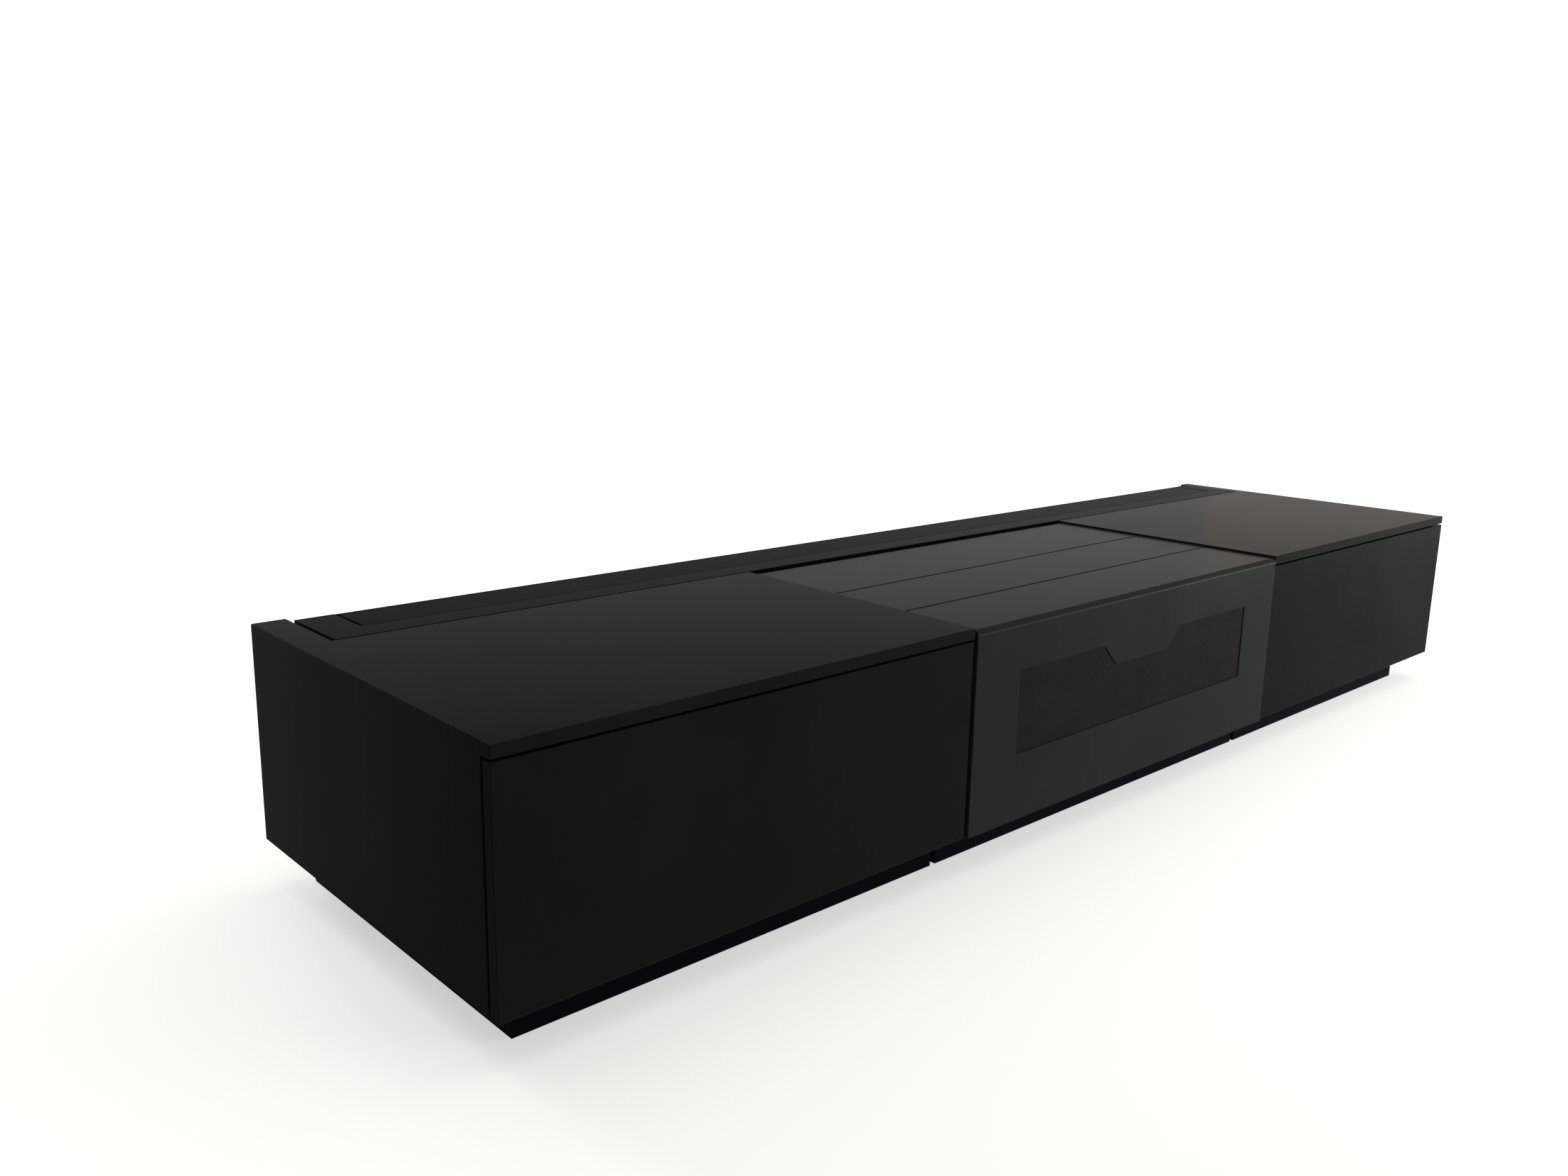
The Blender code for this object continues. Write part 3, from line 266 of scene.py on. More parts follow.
# Laminate of the plinth: the blue-black of carbon-filled paper, flatter than the lacquer.
PLINTH_LAMINATE = Finish("matte_laminate_plinth", "0c0d13", "0a0b10", 0.35, 90, 2, 0.01, 0.04, 0, 0.003)
# Powder coat on steel: greyer than the lacquer, with the tiny even dimples that the cured powder leaves.
POWDER_COAT = Finish("satin_powder_coated_steel", "252827", "222524", 0.22, 220, 1.6, 0.012, 0.04, 0, 0.0047)
# The same coat on the window's wire mesh: a shade lighter and duller, for it cures rougher on thin wire.
COATED_WIRE = Finish("powder_coated_wire_mesh", "292b29", "262826", 0.36, 60, 1.2, 0.01, 0.05, 0, 0.005)
# Black anodised extrusion: fine drawn lines along it, under a dyed oxide that hides the metal as a coat does.
BLACK_ANODISED = Finish(
    "black_anodised_aluminium", "101211", "0e100f", 0.28, 150, 1.2, 0.008, 0.05, 0, 0.0014, (60, 1, 1)
)
# The housing's trim sheet: the same dye on rolled sheet, a touch greyer and without the drawn lines.
ANODISED_SHEET = Finish("black_anodised_sheet", "131514", "101211", 0.28, 150, 1.6, 0.008, 0.04, 0, 0.0018)
# Moulded ABS with a spark-eroded grain, as on the end blocks and the control box: soft and dull.
MOULDED_ABS = Finish("spark_grained_abs", "181818", "151515", 0.4, 70, 1.1, 0.02, 0.06, 0, 0.003)
# Zinc-plated pressed steel: bright, faintly bluish, clouded where the passivation varies.
ZINC_PLATE = Finish("zinc_plated_steel", "a7abaf", "989b9e", 0.42, 18, 1.5, 0.006, 0.06, 1.0, clouds=0.08)
# Epoxy-coated drawer steel: graphite grey and even.
EPOXY_STEEL = Finish("graphite_epoxy_steel", "4c4d50", "454649", 0.48, 140, 1.3, 0.01, 0.04)
# Melamine-faced board inside the drawers: dark linen emboss, longer across than up.
MELAMINE = Finish("linen_melamine_board", "2d2d2a", "262624", 0.6, 40, 1.8, 0.02, 0.05, stretch=(4, 1, 1))
# Hobbed and turned steel of pinions and shaft: oiled, with fine tool lines round it.
TURNED_STEEL = Finish(
    "turned_bright_steel", "a2a5a8", "84878a", 0.28, 12, 0.8, 0.006, 0.08, 1.0, stretch=(1, 9, 9), clouds=0.12
)
# Acetal of the racks: milky, slightly waxy plastic.
ACETAL = Finish("milled_acetal", "d4d1c8", "c9c5ba", 0.42, 60, 1.6, 0.01, 0.06)
# Stove enamel on the gear motor: dark silver-grey.
ENAMEL = Finish("stove_enamelled_steel", "6b6d70", "5c5e61", 0.38, 30, 1.6, 0.012, 0.06)
# Grey anodised arms: flat bar with fine drawn lines along it.
GREY_ANODISED = Finish(
    "grey_anodised_aluminium", "5f6266", "54575b", 0.36, 80, 1.0, 0.01, 0.07, 0.8, stretch=(50, 1, 1)
)
# Light-rejecting screen film: matte grey-white, with level ridges. Real ones stand 0.3 mm apart, too fine
# to show, so they are drawn ten times coarser.
SCREEN_FILM = Finish("ribbed_screen_film", "c9cac8", "c6c7c6", 0.6, 300, 1.5, 0.005, 0.04, ridge_mm=3.0)
# The film's printed border and its backing: soot-black and flat.
FILM_BORDER = Finish("matte_printed_film_border", "101011", "0d0d0e", 0.75, 120, 1.5, 0.006, 0.03, 0, 0.1)
# Nitrile rubber: dull black with a slight bloom.
RUBBER = Finish("nitrile_rubber", "1a1a19", "232321", 0.8, 14, 1.2, 0.03, 0.05, 0, 0.2)
# Nylon of runner wheels: off-white and slightly glossy.
NYLON = Finish("moulded_nylon", "d9d7cf", "cfccc2", 0.4, 16, 1.0, 0.008, 0.06)
# Black oxide screws: dark oiled steel.
BLACK_OXIDE = Finish("black_oxide_steel", "2a2a2b", "1f1f20", 0.35, 6, 0.6, 0.006, 0.08, 0.9, clouds=0.12)
# Brass-plated pins of the mains inlet: pale yellow metal.
PIN_BRASS = Finish("plated_contact_brass", "c9b27a", "b59b63", 0.25, 5, 0.5, 0.002, 0.04, 1.0, clouds=0.12)


class Slot(Enum):
    """The record's material slots: each one's name there, and the finish that belongs to it."""

    BLACK_BOARD = ("black_board", LACQUERED_BOARD)
    BLACK_PLINTH = ("black_plinth", PLINTH_LAMINATE)
    COATED_STEEL = ("coated_steel", POWDER_COAT)
    GRILLE_STEEL = ("grille_steel", COATED_WIRE)
    ZINC_STEEL = ("zinc_steel", ZINC_PLATE)
    GEAR_STEEL = ("gear_steel", TURNED_STEEL)
    RACK_POLYMER = ("rack_polymer", ACETAL)
    DRAWER_STEEL = ("drawer_steel", EPOXY_STEEL)
    DRAWER_BOARD = ("drawer_board", MELAMINE)
    SCREEN_ALLOY = ("screen_alloy", BLACK_ANODISED)
    CAP_PLASTIC = ("cap_plastic", MOULDED_ABS)
    ROLL_FILM = ("roll_film", FILM_BORDER)
    ARM_ALLOY = ("arm_alloy", GREY_ANODISED)
    MOTOR_STEEL = ("motor_steel", ENAMEL)
    CONTROL_PLASTIC = ("control_plastic", MOULDED_ABS)


def reach(start: float, way: int, near: float, far: float) -> Span:
    """Returns the span between two distances from a start, on the side that way names, in rising order."""
    low, high = sorted((start + way * near, start + way * far))
    return low, high


def circle(center: Point, radius: float, steps: int, lobe: float = 0.0) -> list[Point]:
    """Draws a circle, or the soft star of a screw's recess.

    Args:
        center: The circle's centre.
        radius: Its radius.
        steps: How many points it has.
        lobe: How far the star's lobes swing each way, as a share of the radius.

    Returns:
        The points in order.
    """
    turns = [math.tau * step / steps for step in range(steps)]
    radii = [radius * (1 + lobe * math.cos(LOBES * turn)) for turn in turns]
    return [(center[0] + r * math.cos(turn), center[1] + r * math.sin(turn)) for r, turn in zip(radii, turns)]


def arc(center: Point, radius: float, start: float, end: float, steps: int) -> list[Point]:
    """Returns the points of an arc, from its start angle to its end angle in degrees."""
    turns = [math.radians(start + (end - start) * step / steps) for step in range(steps + 1)]
    return [(center[0] + radius * math.cos(turn), center[1] + radius * math.sin(turn)) for turn in turns]


def rounded(corners: Sequence[Place], steps: int = 8) -> list[Point]:
    """Turns the corners of an outline into arcs.

    Args:
        corners: The corners in order, each with u, v and the radius of its arc.
        steps: How many chords each arc has.

    Returns:
        The outline's points.
    """
    outline: list[Point] = []
    count = len(corners)
    for index, (u, v, radius) in enumerate(corners):
        here = Vector((u, v))
        before = (Vector(corners[index - 1][:2]) - here).normalized()
        after = (Vector(corners[(index + 1) % count][:2]) - here).normalized()
        half = before.angle(after) / 2
        along = radius / math.tan(half)
        center = here + (before + after).normalized() * radius / math.sin(half)
        start, end = here + before * along - center, here + after * along - center
        sweep = start.angle_signed(end)
        for step in range(steps + 1):
            turn = Matrix.Rotation(-sweep * step / steps, 2)
            outline.append(tuple(center + turn @ start))
    return outline


def oblong(u: Span, v: Span, radius: float, grown: float = 0.0, steps: int = 8) -> list[Point]:
    """Draws a rectangle with rounded corners.

    Args:
        u: Its limits across.
        v: Its limits up.
        radius: The corners' radius.
        grown: How far it is grown past its limits on every side.
        steps: How many chords each corner has.

    Returns:
        The outline's points.
    """
    left, right, low, high = u[0] - grown, u[1] + grown, v[0] - grown, v[1] + grown
    corners = [(left, low), (right, low), (right, high), (left, high)]
    return rounded([(*corner, radius) for corner in corners], steps)


def stand(name: str, data: bpy.types.ID) -> Piece:
    """Makes an object and puts it in the scene.

    Args:
        name: The object's name.
        data: Its mesh, lamp or camera.

    Returns:
        The new object.
    """
    made = bpy.data.objects.new(name, data)
    bpy.context.scene.collection.objects.link(made)
    return made


def enter(piece: Piece) -> None:
    """Reports a piece and how many faces it has."""
    LOG.info("piece %s: %d faces", piece.name, len(piece.data.polygons))


def work(piece: Piece, kind: str, **settings: Any) -> None:
    """Works a modifier into a piece's mesh.

    Args:
        piece: The piece.
        kind: The modifier's type name.
        **settings: The modifier's own properties.
    """
    step = piece.modifiers.new(kind, kind)
    for name, value in settings.items():
        setattr(step, name, value)
    bpy.context.view_layer.update()
    graph = bpy.context.evaluated_depsgraph_get()
    made = bpy.data.meshes.new_from_object(piece.evaluated_get(graph), depsgraph=graph)
    piece.modifiers.clear()
    old, piece.data = piece.data, made
    bpy.data.meshes.remove(old)
    made.name = piece.name


def shade(piece: Piece) -> None:
    """Shades a piece smooth, but for the edges where its faces meet at a wide angle.

    Args:
        piece: The piece.
    """
    mesh = bmesh.new()
    mesh.from_mesh(piece.data)
    for face in mesh.faces:
        face.smooth = True
    for edge in mesh.edges:
        edge.smooth = len(edge.link_faces) != 2 or edge.calc_face_angle() < SMOOTH_BELOW
    mesh.to_mesh(piece.data)
    mesh.free()


def level_normals(piece: Piece) -> None:
    """Turns the normals at each rounded edge to the larger face, so that flats look flat."""
    work(piece, "WEIGHTED_NORMAL", mode="FACE_AREA", keep_sharp=True)


def soften(piece: Piece, radius: float) -> None:
    """Rounds a piece's sharp edges and shades it again.

    Args:
        piece: The piece.
        radius: The radius of the rounded edges.
    """
    work(piece, "BEVEL", width=radius, segments=2, limit_method="ANGLE", angle_limit=SOFTENED_ABOVE)
    shade(piece)
    level_normals(piece)


class Shape:
    """The mesh of one piece, built up from prisms, tubes, turned bodies and screws."""

    # A screw head in section: height and radius over the head's radius, and how far its lobes swing.
    DOME = ((0, 1, 0), (0.3, 1, 0), (0.5, 0.86, 0), (0.6, 0.6, 0), (0.62, 0.5, 0))
    RECESS = ((0.6, 0.44, 0.14), (0.25, 0.41, 0.14))
    # How many points the outline of a screw head and of a washer face has.
    HEAD_STEPS = 24
    # The radius of a bolt's washer face over the width across flats, and its height.
    WASHER, WASHER_HEIGHT = 0.72, 0.8 * MM
    # The height of the chamfer on a bolt's head, and the share of the radius that it leaves on top.
    CHAMFER, CHAMFER_TOP = 0.5 * MM, 0.88
    # How far the head reaches into the washer face.
    OVERLAP = 0.1 * MM

    def __init__(self) -> None:
        """Starts an empty mesh."""
        self.mesh = bmesh.new()

    def loft(self, axis: Axis, sections: Iterable[tuple[float, Sequence[Point]]]) -> list[bmesh.types.BMFace]:
        """Adds a closed body through outlines of equal length, and fills its two ends.

        Args:
            axis: The axis that the outlines are square to.
            sections: The place of each outline along the axis, and its points.

        Returns:
            The faces, with the two ends first.
        """
        add = self.mesh.verts.new
        rings = [[add(point) for point in axis.points(outline, at)] for at, outline in sections]
        faces = [self.mesh.faces.new(rings[0]), self.mesh.faces.new(rings[-1])]
        count = len(rings[0])
        for near, far in zip(rings, rings[1:]):
            for at in range(count):
                after = (at + 1) % count
                faces.append(self.mesh.faces.new((near[at], near[after], far[after], far[at])))
        bmesh.ops.recalc_face_normals(self.mesh, faces=faces)
        return faces

    def ease(self, edges: set[bmesh.types.BMEdge], radius: float, steps: int) -> None:
        """Rounds some edges to a radius."""
        geom = list(edges)
        bmesh.ops.bevel(self.mesh, geom=geom, offset=radius, segments=steps, profile=0.5, affect="EDGES")

    def prism(self, outline: Sequence[Point], axis: Axis, span: Span, bevel: float = 0.0) -> None:
        """Adds a solid of constant outline.

        Args:
            outline: The corners in order.
            axis: The axis that the outline is square to.
            span: Where the solid starts and ends along it.
            bevel: The radius that rounds the edges of its two ends.
        """
        ends = self.loft(axis, [(at, outline) for at in span])[:2]
        if bevel:
            self.ease({edge for face in ends for edge in face.edges}, bevel, steps=3)

    def block(self, x: Span, y: Span, z: Span, bevel: float = 0.0) -> None:
        """Adds a cuboid.

        Args:
            x: Its limits across.
            y: Its limits from front to rear.
            z: Its limits up.
            bevel: The radius that rounds its edges.
        """
        spans = (x, y, z)
        verts = bmesh.ops.create_cube(self.mesh, size=1)["verts"]
        bmesh.ops.scale(self.mesh, vec=[high - low for low, high in spans], verts=verts)
        bmesh.ops.translate(self.mesh, vec=[(low + high) / 2 for low, high in spans], verts=verts)
        if bevel:
            self.ease({edge for vert in verts for edge in vert.link_edges}, bevel, steps=2)

    def tube(
        self, outer: Sequence[Point], inner: Sequence[Point], axis: Axis, span: Span, closed: bool = True
    ) -> None:
        """Adds a wall between two outlines of equal length.

        Args:
            outer: The points of one side of the wall.
            inner: The points of its other side.
            axis: The axis that the outlines are square to.
            span: Where the wall starts and ends along it.
            closed: Whether the outlines close on themselves, as round a hole.
        """
        corners = ((span[0], outer), (span[0], inner), (span[1], inner), (span[1], outer))
        lines = [[self.mesh.verts.new(point) for point in axis.points(side, at)] for at, side in corners]
        faces = [] if closed else [self.mesh.faces.new([line[end] for line in lines]) for end in (0, -1)]
        count = len(outer)
        for at in range(count if closed else count - 1):
            after = (at + 1) % count
            for near, far in zip(lines, lines[1:] + lines[:1]):
                faces.append(self.mesh.faces.new((near[at], near[after], far[after], far[at])))
        bmesh.ops.recalc_face_normals(self.mesh, faces=faces)

    def turned(self, profile: Sequence[Point], axis: Axis, center: Point, steps: int = 32) -> None:
        """Adds a body turned round an axis, from points of its place along the axis and its radius."""
        self.loft(axis, [(at, circle(center, radius, steps)) for at, radius in profile])

    def ring(self, axis: Axis, center: Point, radii: Span, span: Span, steps: int = 32) -> None:
        """Adds a plain ring between an inner and an outer radius."""
        self.tube(circle(center, radii[1], steps), circle(center, radii[0], steps), axis, span)

    def screws(self, axis: Axis, places: Iterable[Point], face: float, out: int, radius: float) -> None:
        """Adds domed screw heads with six-lobed recesses.

        Args:
            axis: The screws' axis.
            places: Where they stand.
            face: The place along the axis of the surface that they are driven into.
            out: 1 or -1, the way that the heads face.
            radius: The heads' radius.
        """
        head = self.DOME + self.RECESS
        for place in places:
            rings = [circle(place, radius * share, self.HEAD_STEPS, lobe) for _, share, lobe in head]
            self.loft(axis, [(face + out * up * radius, ring) for (up, *_), ring in zip(head, rings)])

    def bolts(self, axis: Axis, places: Iterable[Point], face: float, out: int, across: float) -> None:
        """Adds chamfered hexagon heads on round washer faces.

        Args:
            axis: The bolts' axis.
            places: Where they stand.
            face: The place along the axis of the surface under the heads.
            out: 1 or -1, the way that the heads face.
            across: The width across the flats.
        """
        top, radius, corner = face + out * self.WASHER_HEIGHT, across * self.WASHER, across / math.sqrt(3)
        low, high = top - out * self.OVERLAP, top + out * across / 2
        head = [(low, corner), (high - out * self.CHAMFER, corner), (high, corner * self.CHAMFER_TOP)]
        for place in places:
            self.turned([(face, radius), (top, radius)], axis, place, self.HEAD_STEPS)
            self.turned(head, axis, place, steps=6)

    def data(self, name: str) -> bpy.types.Mesh:
        """Turns the shape into a mesh.

        Args:
            name: The mesh's name.

        Returns:
            The new mesh.
        """
        made = bpy.data.meshes.new(name)
        self.mesh.to_mesh(made)
        self.mesh.free()
        return made

    def piece(self, name: str, slot: Slot, body: Body | None = None, finish: Finish | None = None) -> Piece:
        """Turns the shape into a piece with its finish.

        Args:
            name: The piece's name.
            slot: The record's material slot whose finish it takes.
            body: The body that it moves with, or None where it is attached later or not at all.
            finish: Its finish, where that isn't the slot's own.

        Returns:
            The new piece.
        """
        made = stand(name, self.data(name))
        made.data.materials.append((finish or slot.value[1]).material())
        shade(made)
        enter(made)
        if body:
            level_normals(made)
            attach(made, body.value)
        return made

    def carve(self, piece: Piece) -> None:
        """Cuts the shape out of a piece.

        Args:
            piece: The piece that is cut.
        """
        tool = stand("cutter", self.data("cutter"))
        work(piece, "BOOLEAN", operation="DIFFERENCE", solver="EXACT", object=tool)
        bpy.data.objects.remove(tool, do_unlink=True)


class Assembly:
    """A sub-assembly of the cabinet, which builds and dresses its own pieces."""

    def build(self) -> None:
        """Builds every piece of the sub-assembly."""
        raise NotImplementedError


@dataclass
class MetalFront(Assembly):
    """The one-piece bent metal front of the middle bay, with its window and the fine wire mesh behind it.

    tab_wide and tab_narrow give half the width of the window's tab at its root and at its foot, and the
    radius of the corners there.
    """

    half: float = 0.4295
    sheet: float = 0.0015
    front: float = -0.32
    top: float = 0.3705
    foot: float = 0.0577
    strip_rear: float = -0.177
    bend: float = 0.009
    bend_steps: int = 18
    turned_in: float = 0.014
    side_bend: float = 0.0012
    edge_radius: float = 0.00025
    cut_past: float = 0.01
    window: Span = (-0.327, 0.327)
    window_z: Span = (0.164, 0.295)
    window_corner: float = 0.001
    corner_steps: int = 12
    tab_depth: float = 0.0355
    tab_wide: Point = (0.111, 0.02)
    tab_narrow: Point = (0.0755, 0.02)
    mesh_margin: float = 0.008
    mesh_margin_z: float = 0.007
    wire_pitch: float = 0.0025
    wire_width: float = 0.0011
    wire_front: float = -0.3182
    wire_depth: float = 0.0005
    wire_step: float = 0.0003
    clamp_y: Span = (-0.3173, -0.3161)
    clamp_margins: Span = (-0.001, 0.01)
    clamp_radii: Span = (0.002, 0.004)
    nut_x: Row = (-0.32, -0.16, 0.0, 0.16, 0.32)
    nut_margin: float = 0.005
    nut: float = 4 * MM

    def build(self) -> None:
        """Builds the metal front, its wire mesh and the frame that clamps the mesh."""
        self.bent_sheet()
        self.wire_mesh()
        self.clamp_frame()

    def section(self, inset: float, depth: float) -> list[Point]:
        """Draws the front in section, in (y, z): strip, rounded bend and front, as one band.

        Args:
            inset: How far the outline is drawn in from the sheet's outer face.
            depth: How deep the band is from the outer face.

        Returns:
            The section's outline.
        """
        top, rear = self.top - inset, self.strip_rear - inset
        front, foot = self.front + inset, self.foot + inset
        radius = self.bend - inset
        bend = arc((front + radius, top - radius), radius, 90, 180, self.bend_steps)
        inner_y, inner_z = self.front + depth, self.top - depth
        return [(rear, inner_z), (rear, top), *bend, (front, foot), (inner_y, foot), (inner_y, inner_z)]

    def opening(self) -> list[Point]:
        """Draws the window in (x, z), with the rounded tab that hangs from its upper edge.

        Returns:
            The window's outline.
        """
        (low, high), right, corner = self.window_z, self.window[1], self.window_corner
        (wide, wide_radius), (narrow, narrow_radius) = self.tab_wide, self.tab_narrow
        half = [(right, low, corner), (right, high, corner), (wide, high, wide_radius)]
        half.append((narrow, high - self.tab_depth, narrow_radius))
        mirrored = [(-x, z, radius) for x, z, radius in reversed(half)]
        return rounded(mirrored[-1:] + half + mirrored[:-1], self.corner_steps)

    def bent_sheet(self) -> None:
        """Builds the metal front as sheet, hollow behind, with its window cut through."""
        band, hollow, window = Shape(), Shape(), Shape()
        band.prism(self.section(0, self.turned_in), Axis.X, (-self.half, self.half), self.side_bend)
        piece = band.piece("metal_front", Slot.COATED_STEEL)
        inner, depth = self.half - self.sheet, self.turned_in + self.cut_past
        hollow.prism(self.section(self.sheet, depth), Axis.X, (-inner, inner))
        hollow.carve(piece)
        window.prism(self.opening(), Axis.Y, (self.front - self.cut_past, self.front + self.cut_past))
        window.carve(piece)
        soften(piece, self.edge_radius)
        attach(piece, Body.TRAY.value)
        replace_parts(piece, "front_cover")

    def wires(self, limits: Span) -> list[Span]:
        """Sets out the wires side by side between two limits.

        Args:
            limits: Where the mesh starts and ends.

        Returns:
            The two edges of each wire.
        """
        low, high = limits
        count = round((high - low) / self.wire_pitch)
        places = [low + (index + 0.5) * self.wire_pitch for index in range(count)]
        return [(place - self.wire_width / 2, place + self.wire_width / 2) for place in places]

    def wire_mesh(self) -> None:
        """Builds the square wire mesh: upright wires in front, level wires behind, fused where they cross."""
        mesh = Shape()
        x = (self.window[0] - self.mesh_margin, self.window[1] + self.mesh_margin)
        z = (self.window_z[0] - self.mesh_margin_z, self.window_z[1] + self.mesh_margin_z)
        near = (self.wire_front, self.wire_front + self.wire_depth)
        far = (near[0] + self.wire_step, near[1] + self.wire_step)
        for wire in self.wires(x):
            mesh.block(wire, near, z)
        for wire in self.wires(z):
            mesh.block(x, far, wire)
        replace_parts(mesh.piece("wire_mesh", Slot.GRILLE_STEEL, Body.TRAY), "grille_mesh")

    def clamp_frame(self) -> None:
        """Builds the flat frame that clamps the wire mesh from behind, and its nuts."""
        ring, nuts = Shape(), Shape()
        inner, outer = (
            oblong(self.window, self.window_z, radius, margin)
            for radius, margin in zip(self.clamp_radii, self.clamp_margins)
        )
        ring.tube(outer, inner, Axis.Y, self.clamp_y)
        ring.piece("mesh_clamp_frame", Slot.COATED_STEEL, Body.TRAY)
        rows = (self.window_z[0] - self.nut_margin, self.window_z[1] + self.nut_margin)
        nuts.bolts(Axis.Y, product(self.nut_x, rows), self.clamp_y[1], 1, self.nut)
        nuts.piece("mesh_clamp_nuts", Slot.ZINC_STEEL, Body.TRAY)


@dataclass
class TrayFittings(Assembly):
    """Fastenings of the projector tray, and the end stops of its rails."""

    wall: float = 0.411
    screw_y: Row = (-0.262, -0.15, -0.02, 0.095)
    screw_z: float = 0.175
    screw: float = 3.2 * MM
    stop_x: Span = (0.419, 0.4308)
    stop_y: Span = (0.1302, 0.1334)
    stop_z: Span = (0.15, 0.175)
    stop_edge: float = 0.0008

    def build(self) -> None:
        """Builds the screws inside the tray's walls, and the rubber stops at the rails' rear ends."""
        screws, stops = Shape(), Shape()
        for side in Side:
            places = product(self.screw_y, [self.screw_z])
            screws.screws(Axis.X, places, side * self.wall, -side, self.screw)
            stops.block(reach(0, side, *self.stop_x), self.stop_y, self.stop_z, self.stop_edge)
        screws.piece("tray_wall_screws", Slot.COATED_STEEL, Body.TRAY, BLACK_OXIDE)
        stops.piece("rail_end_stops", Slot.CONTROL_PLASTIC, Body.CABINET, RUBBER)


@dataclass
class DriveFittings(Assembly):
    """Collars, hubs and bolts of the tray's rack drive, and the details of its motor."""

    shaft: Point = (-0.22, 0.103)
    shaft_radius: float = 0.006
    collar_x: Span = (0.286, 0.2955)
    collar_radius: float = 0.0105
    hub_x: Span = (0.3012, 0.3068)
    hub_radius: float = 0.0098
    set_screw_z: Span = (0.113, 0.1142)
    set_screw: float = 0.0019
    can: Point = (-0.184, 0.1035)
    can_radius: float = 0.0204
    bands: tuple[tuple[float, Span], ...] = ((0.0214, (-0.0215, -0.0165)), (0.0212, (0.056, 0.062)))
    gearbox_x: Span = (-0.055, -0.022)
    gearbox_front: Points = ((-0.24, 0.0855), (-0.229, 0.1215))
    gearbox_rear: Points = ((-0.1655, 0.0855), (-0.1765, 0.1215))
    gearbox_screw: float = 2.6 * MM
    bracket_x: Row = (-0.27, -0.12, 0.12, 0.27)
    bracket_y: float = -0.165
    bracket_top: float = 0.0793
    bracket_bolt: float = 7 * MM

    def build(self) -> None:
        """Builds the pieces on the shaft, then those on the motor and bracket."""
        hubs, screws = Shape(), Shape()
        for side in Side:
            collar = reach(0, side, *self.collar_x)
            hubs.ring(Axis.X, self.shaft, (self.shaft_radius, self.collar_radius), collar)
            hub = reach(0, side, *self.hub_x)
            hubs.ring(Axis.X, self.shaft, (self.shaft_radius, self.hub_radius), hub)
            section = [(z, self.set_screw) for z in self.set_screw_z]
            screws.turned(section, Axis.Z, (sum(collar) / 2, self.shaft[0]), steps=6)
        hubs.piece("shaft_collars", Slot.GEAR_STEEL, Body.DRIVE)
        screws.piece("collar_set_screws", Slot.GEAR_STEEL, Body.DRIVE, BLACK_OXIDE)
        self.motor()

    def motor(self) -> None:
        """Builds the motor's bands, the gearbox's screws and the bolts that hold the drive's bracket."""
        bands, screws, bolts = Shape(), Shape(), Shape()
        for radius, span in self.bands:
            bands.ring(Axis.X, self.can, (self.can_radius, radius), span, steps=48)
        bands.piece("motor_bands", Slot.ZINC_STEEL, Body.CABINET)
        left, right = self.gearbox_x
        screws.screws(Axis.X, self.gearbox_front + self.gearbox_rear, left, -1, self.gearbox_screw)
        screws.screws(Axis.X, self.gearbox_front, right, 1, self.gearbox_screw)
        screws.piece("gearbox_bolts", Slot.MOTOR_STEEL, Body.CABINET, BLACK_OXIDE)
        places = [(x, self.bracket_y) for x in self.bracket_x]
        bolts.bolts(Axis.Z, places, self.bracket_top, 1, self.bracket_bolt)
        bolts.piece("bracket_bolts", Slot.ZINC_STEEL, Body.CABINET)


@dataclass
class ControlBox(Assembly):
    """Details of the control box in the rear channel: seam, ribs, screws and the mains inlet's pins."""

    x: Span = (-0.28, -0.1)
    y: Span = (0.196, 0.286)
    top: float = 0.128
    seam_z: Span = (0.115, 0.1165)
    seam_margins: Span = (-0.001, 0.0005)
    seam_radii: Span = (0.0025, 0.0035)
    ribs: int = 14
    rib_start: float = -0.25
    rib_pitch: float = 0.009
    rib_width: float = 0.004
    rib_y: Span = (0.208, 0.274)
    rib_z: Span = (0.1275, 0.1292)
    rib_radius: float = 0.0019
    edge: float = 0.0004
    screw_inset: float = 0.008
    screw: float = 2.6 * MM
    pins: Points = ((-0.2565, 0.095), (-0.25, 0.0975), (-0.2435, 0.095))
    pin_y: Span = (0.2755, 0.2845)
    pin_half: Point = (0.001, 0.0022)

    def build(self) -> None:
        """Builds the seam and ribs, the screws and the inlet's pins."""
        ribs, screws, pins = Shape(), Shape(), Shape()
        inner, outer = (
            oblong(self.x, self.y, radius, margin)
            for radius, margin in zip(self.seam_radii, self.seam_margins)
        )
        ribs.tube(outer, inner, Axis.Z, self.seam_z)
        for index in range(self.ribs):
            x = self.rib_start + index * self.rib_pitch
            outline = oblong((x, x + self.rib_width), self.rib_y, self.rib_radius, steps=6)
            ribs.prism(outline, Axis.Z, self.rib_z, self.edge)
        ribs.piece("control_box_ribs", Slot.CONTROL_PLASTIC, Body.CABINET)
        inset = self.screw_inset
        places = product(*((low + inset, high - inset) for low, high in (self.x, self.y)))
        screws.screws(Axis.Z, places, self.top, 1, self.screw)
        screws.piece("control_box_screws", Slot.CONTROL_PLASTIC, Body.CABINET, BLACK_OXIDE)
        wide, tall = self.pin_half
        for x, z in self.pins:
            pins.block((x - wide, x + wide), self.pin_y, (z - tall, z + tall), self.edge)
        pins.piece("mains_inlet_pins", Slot.GEAR_STEEL, Body.CABINET, PIN_BRASS)


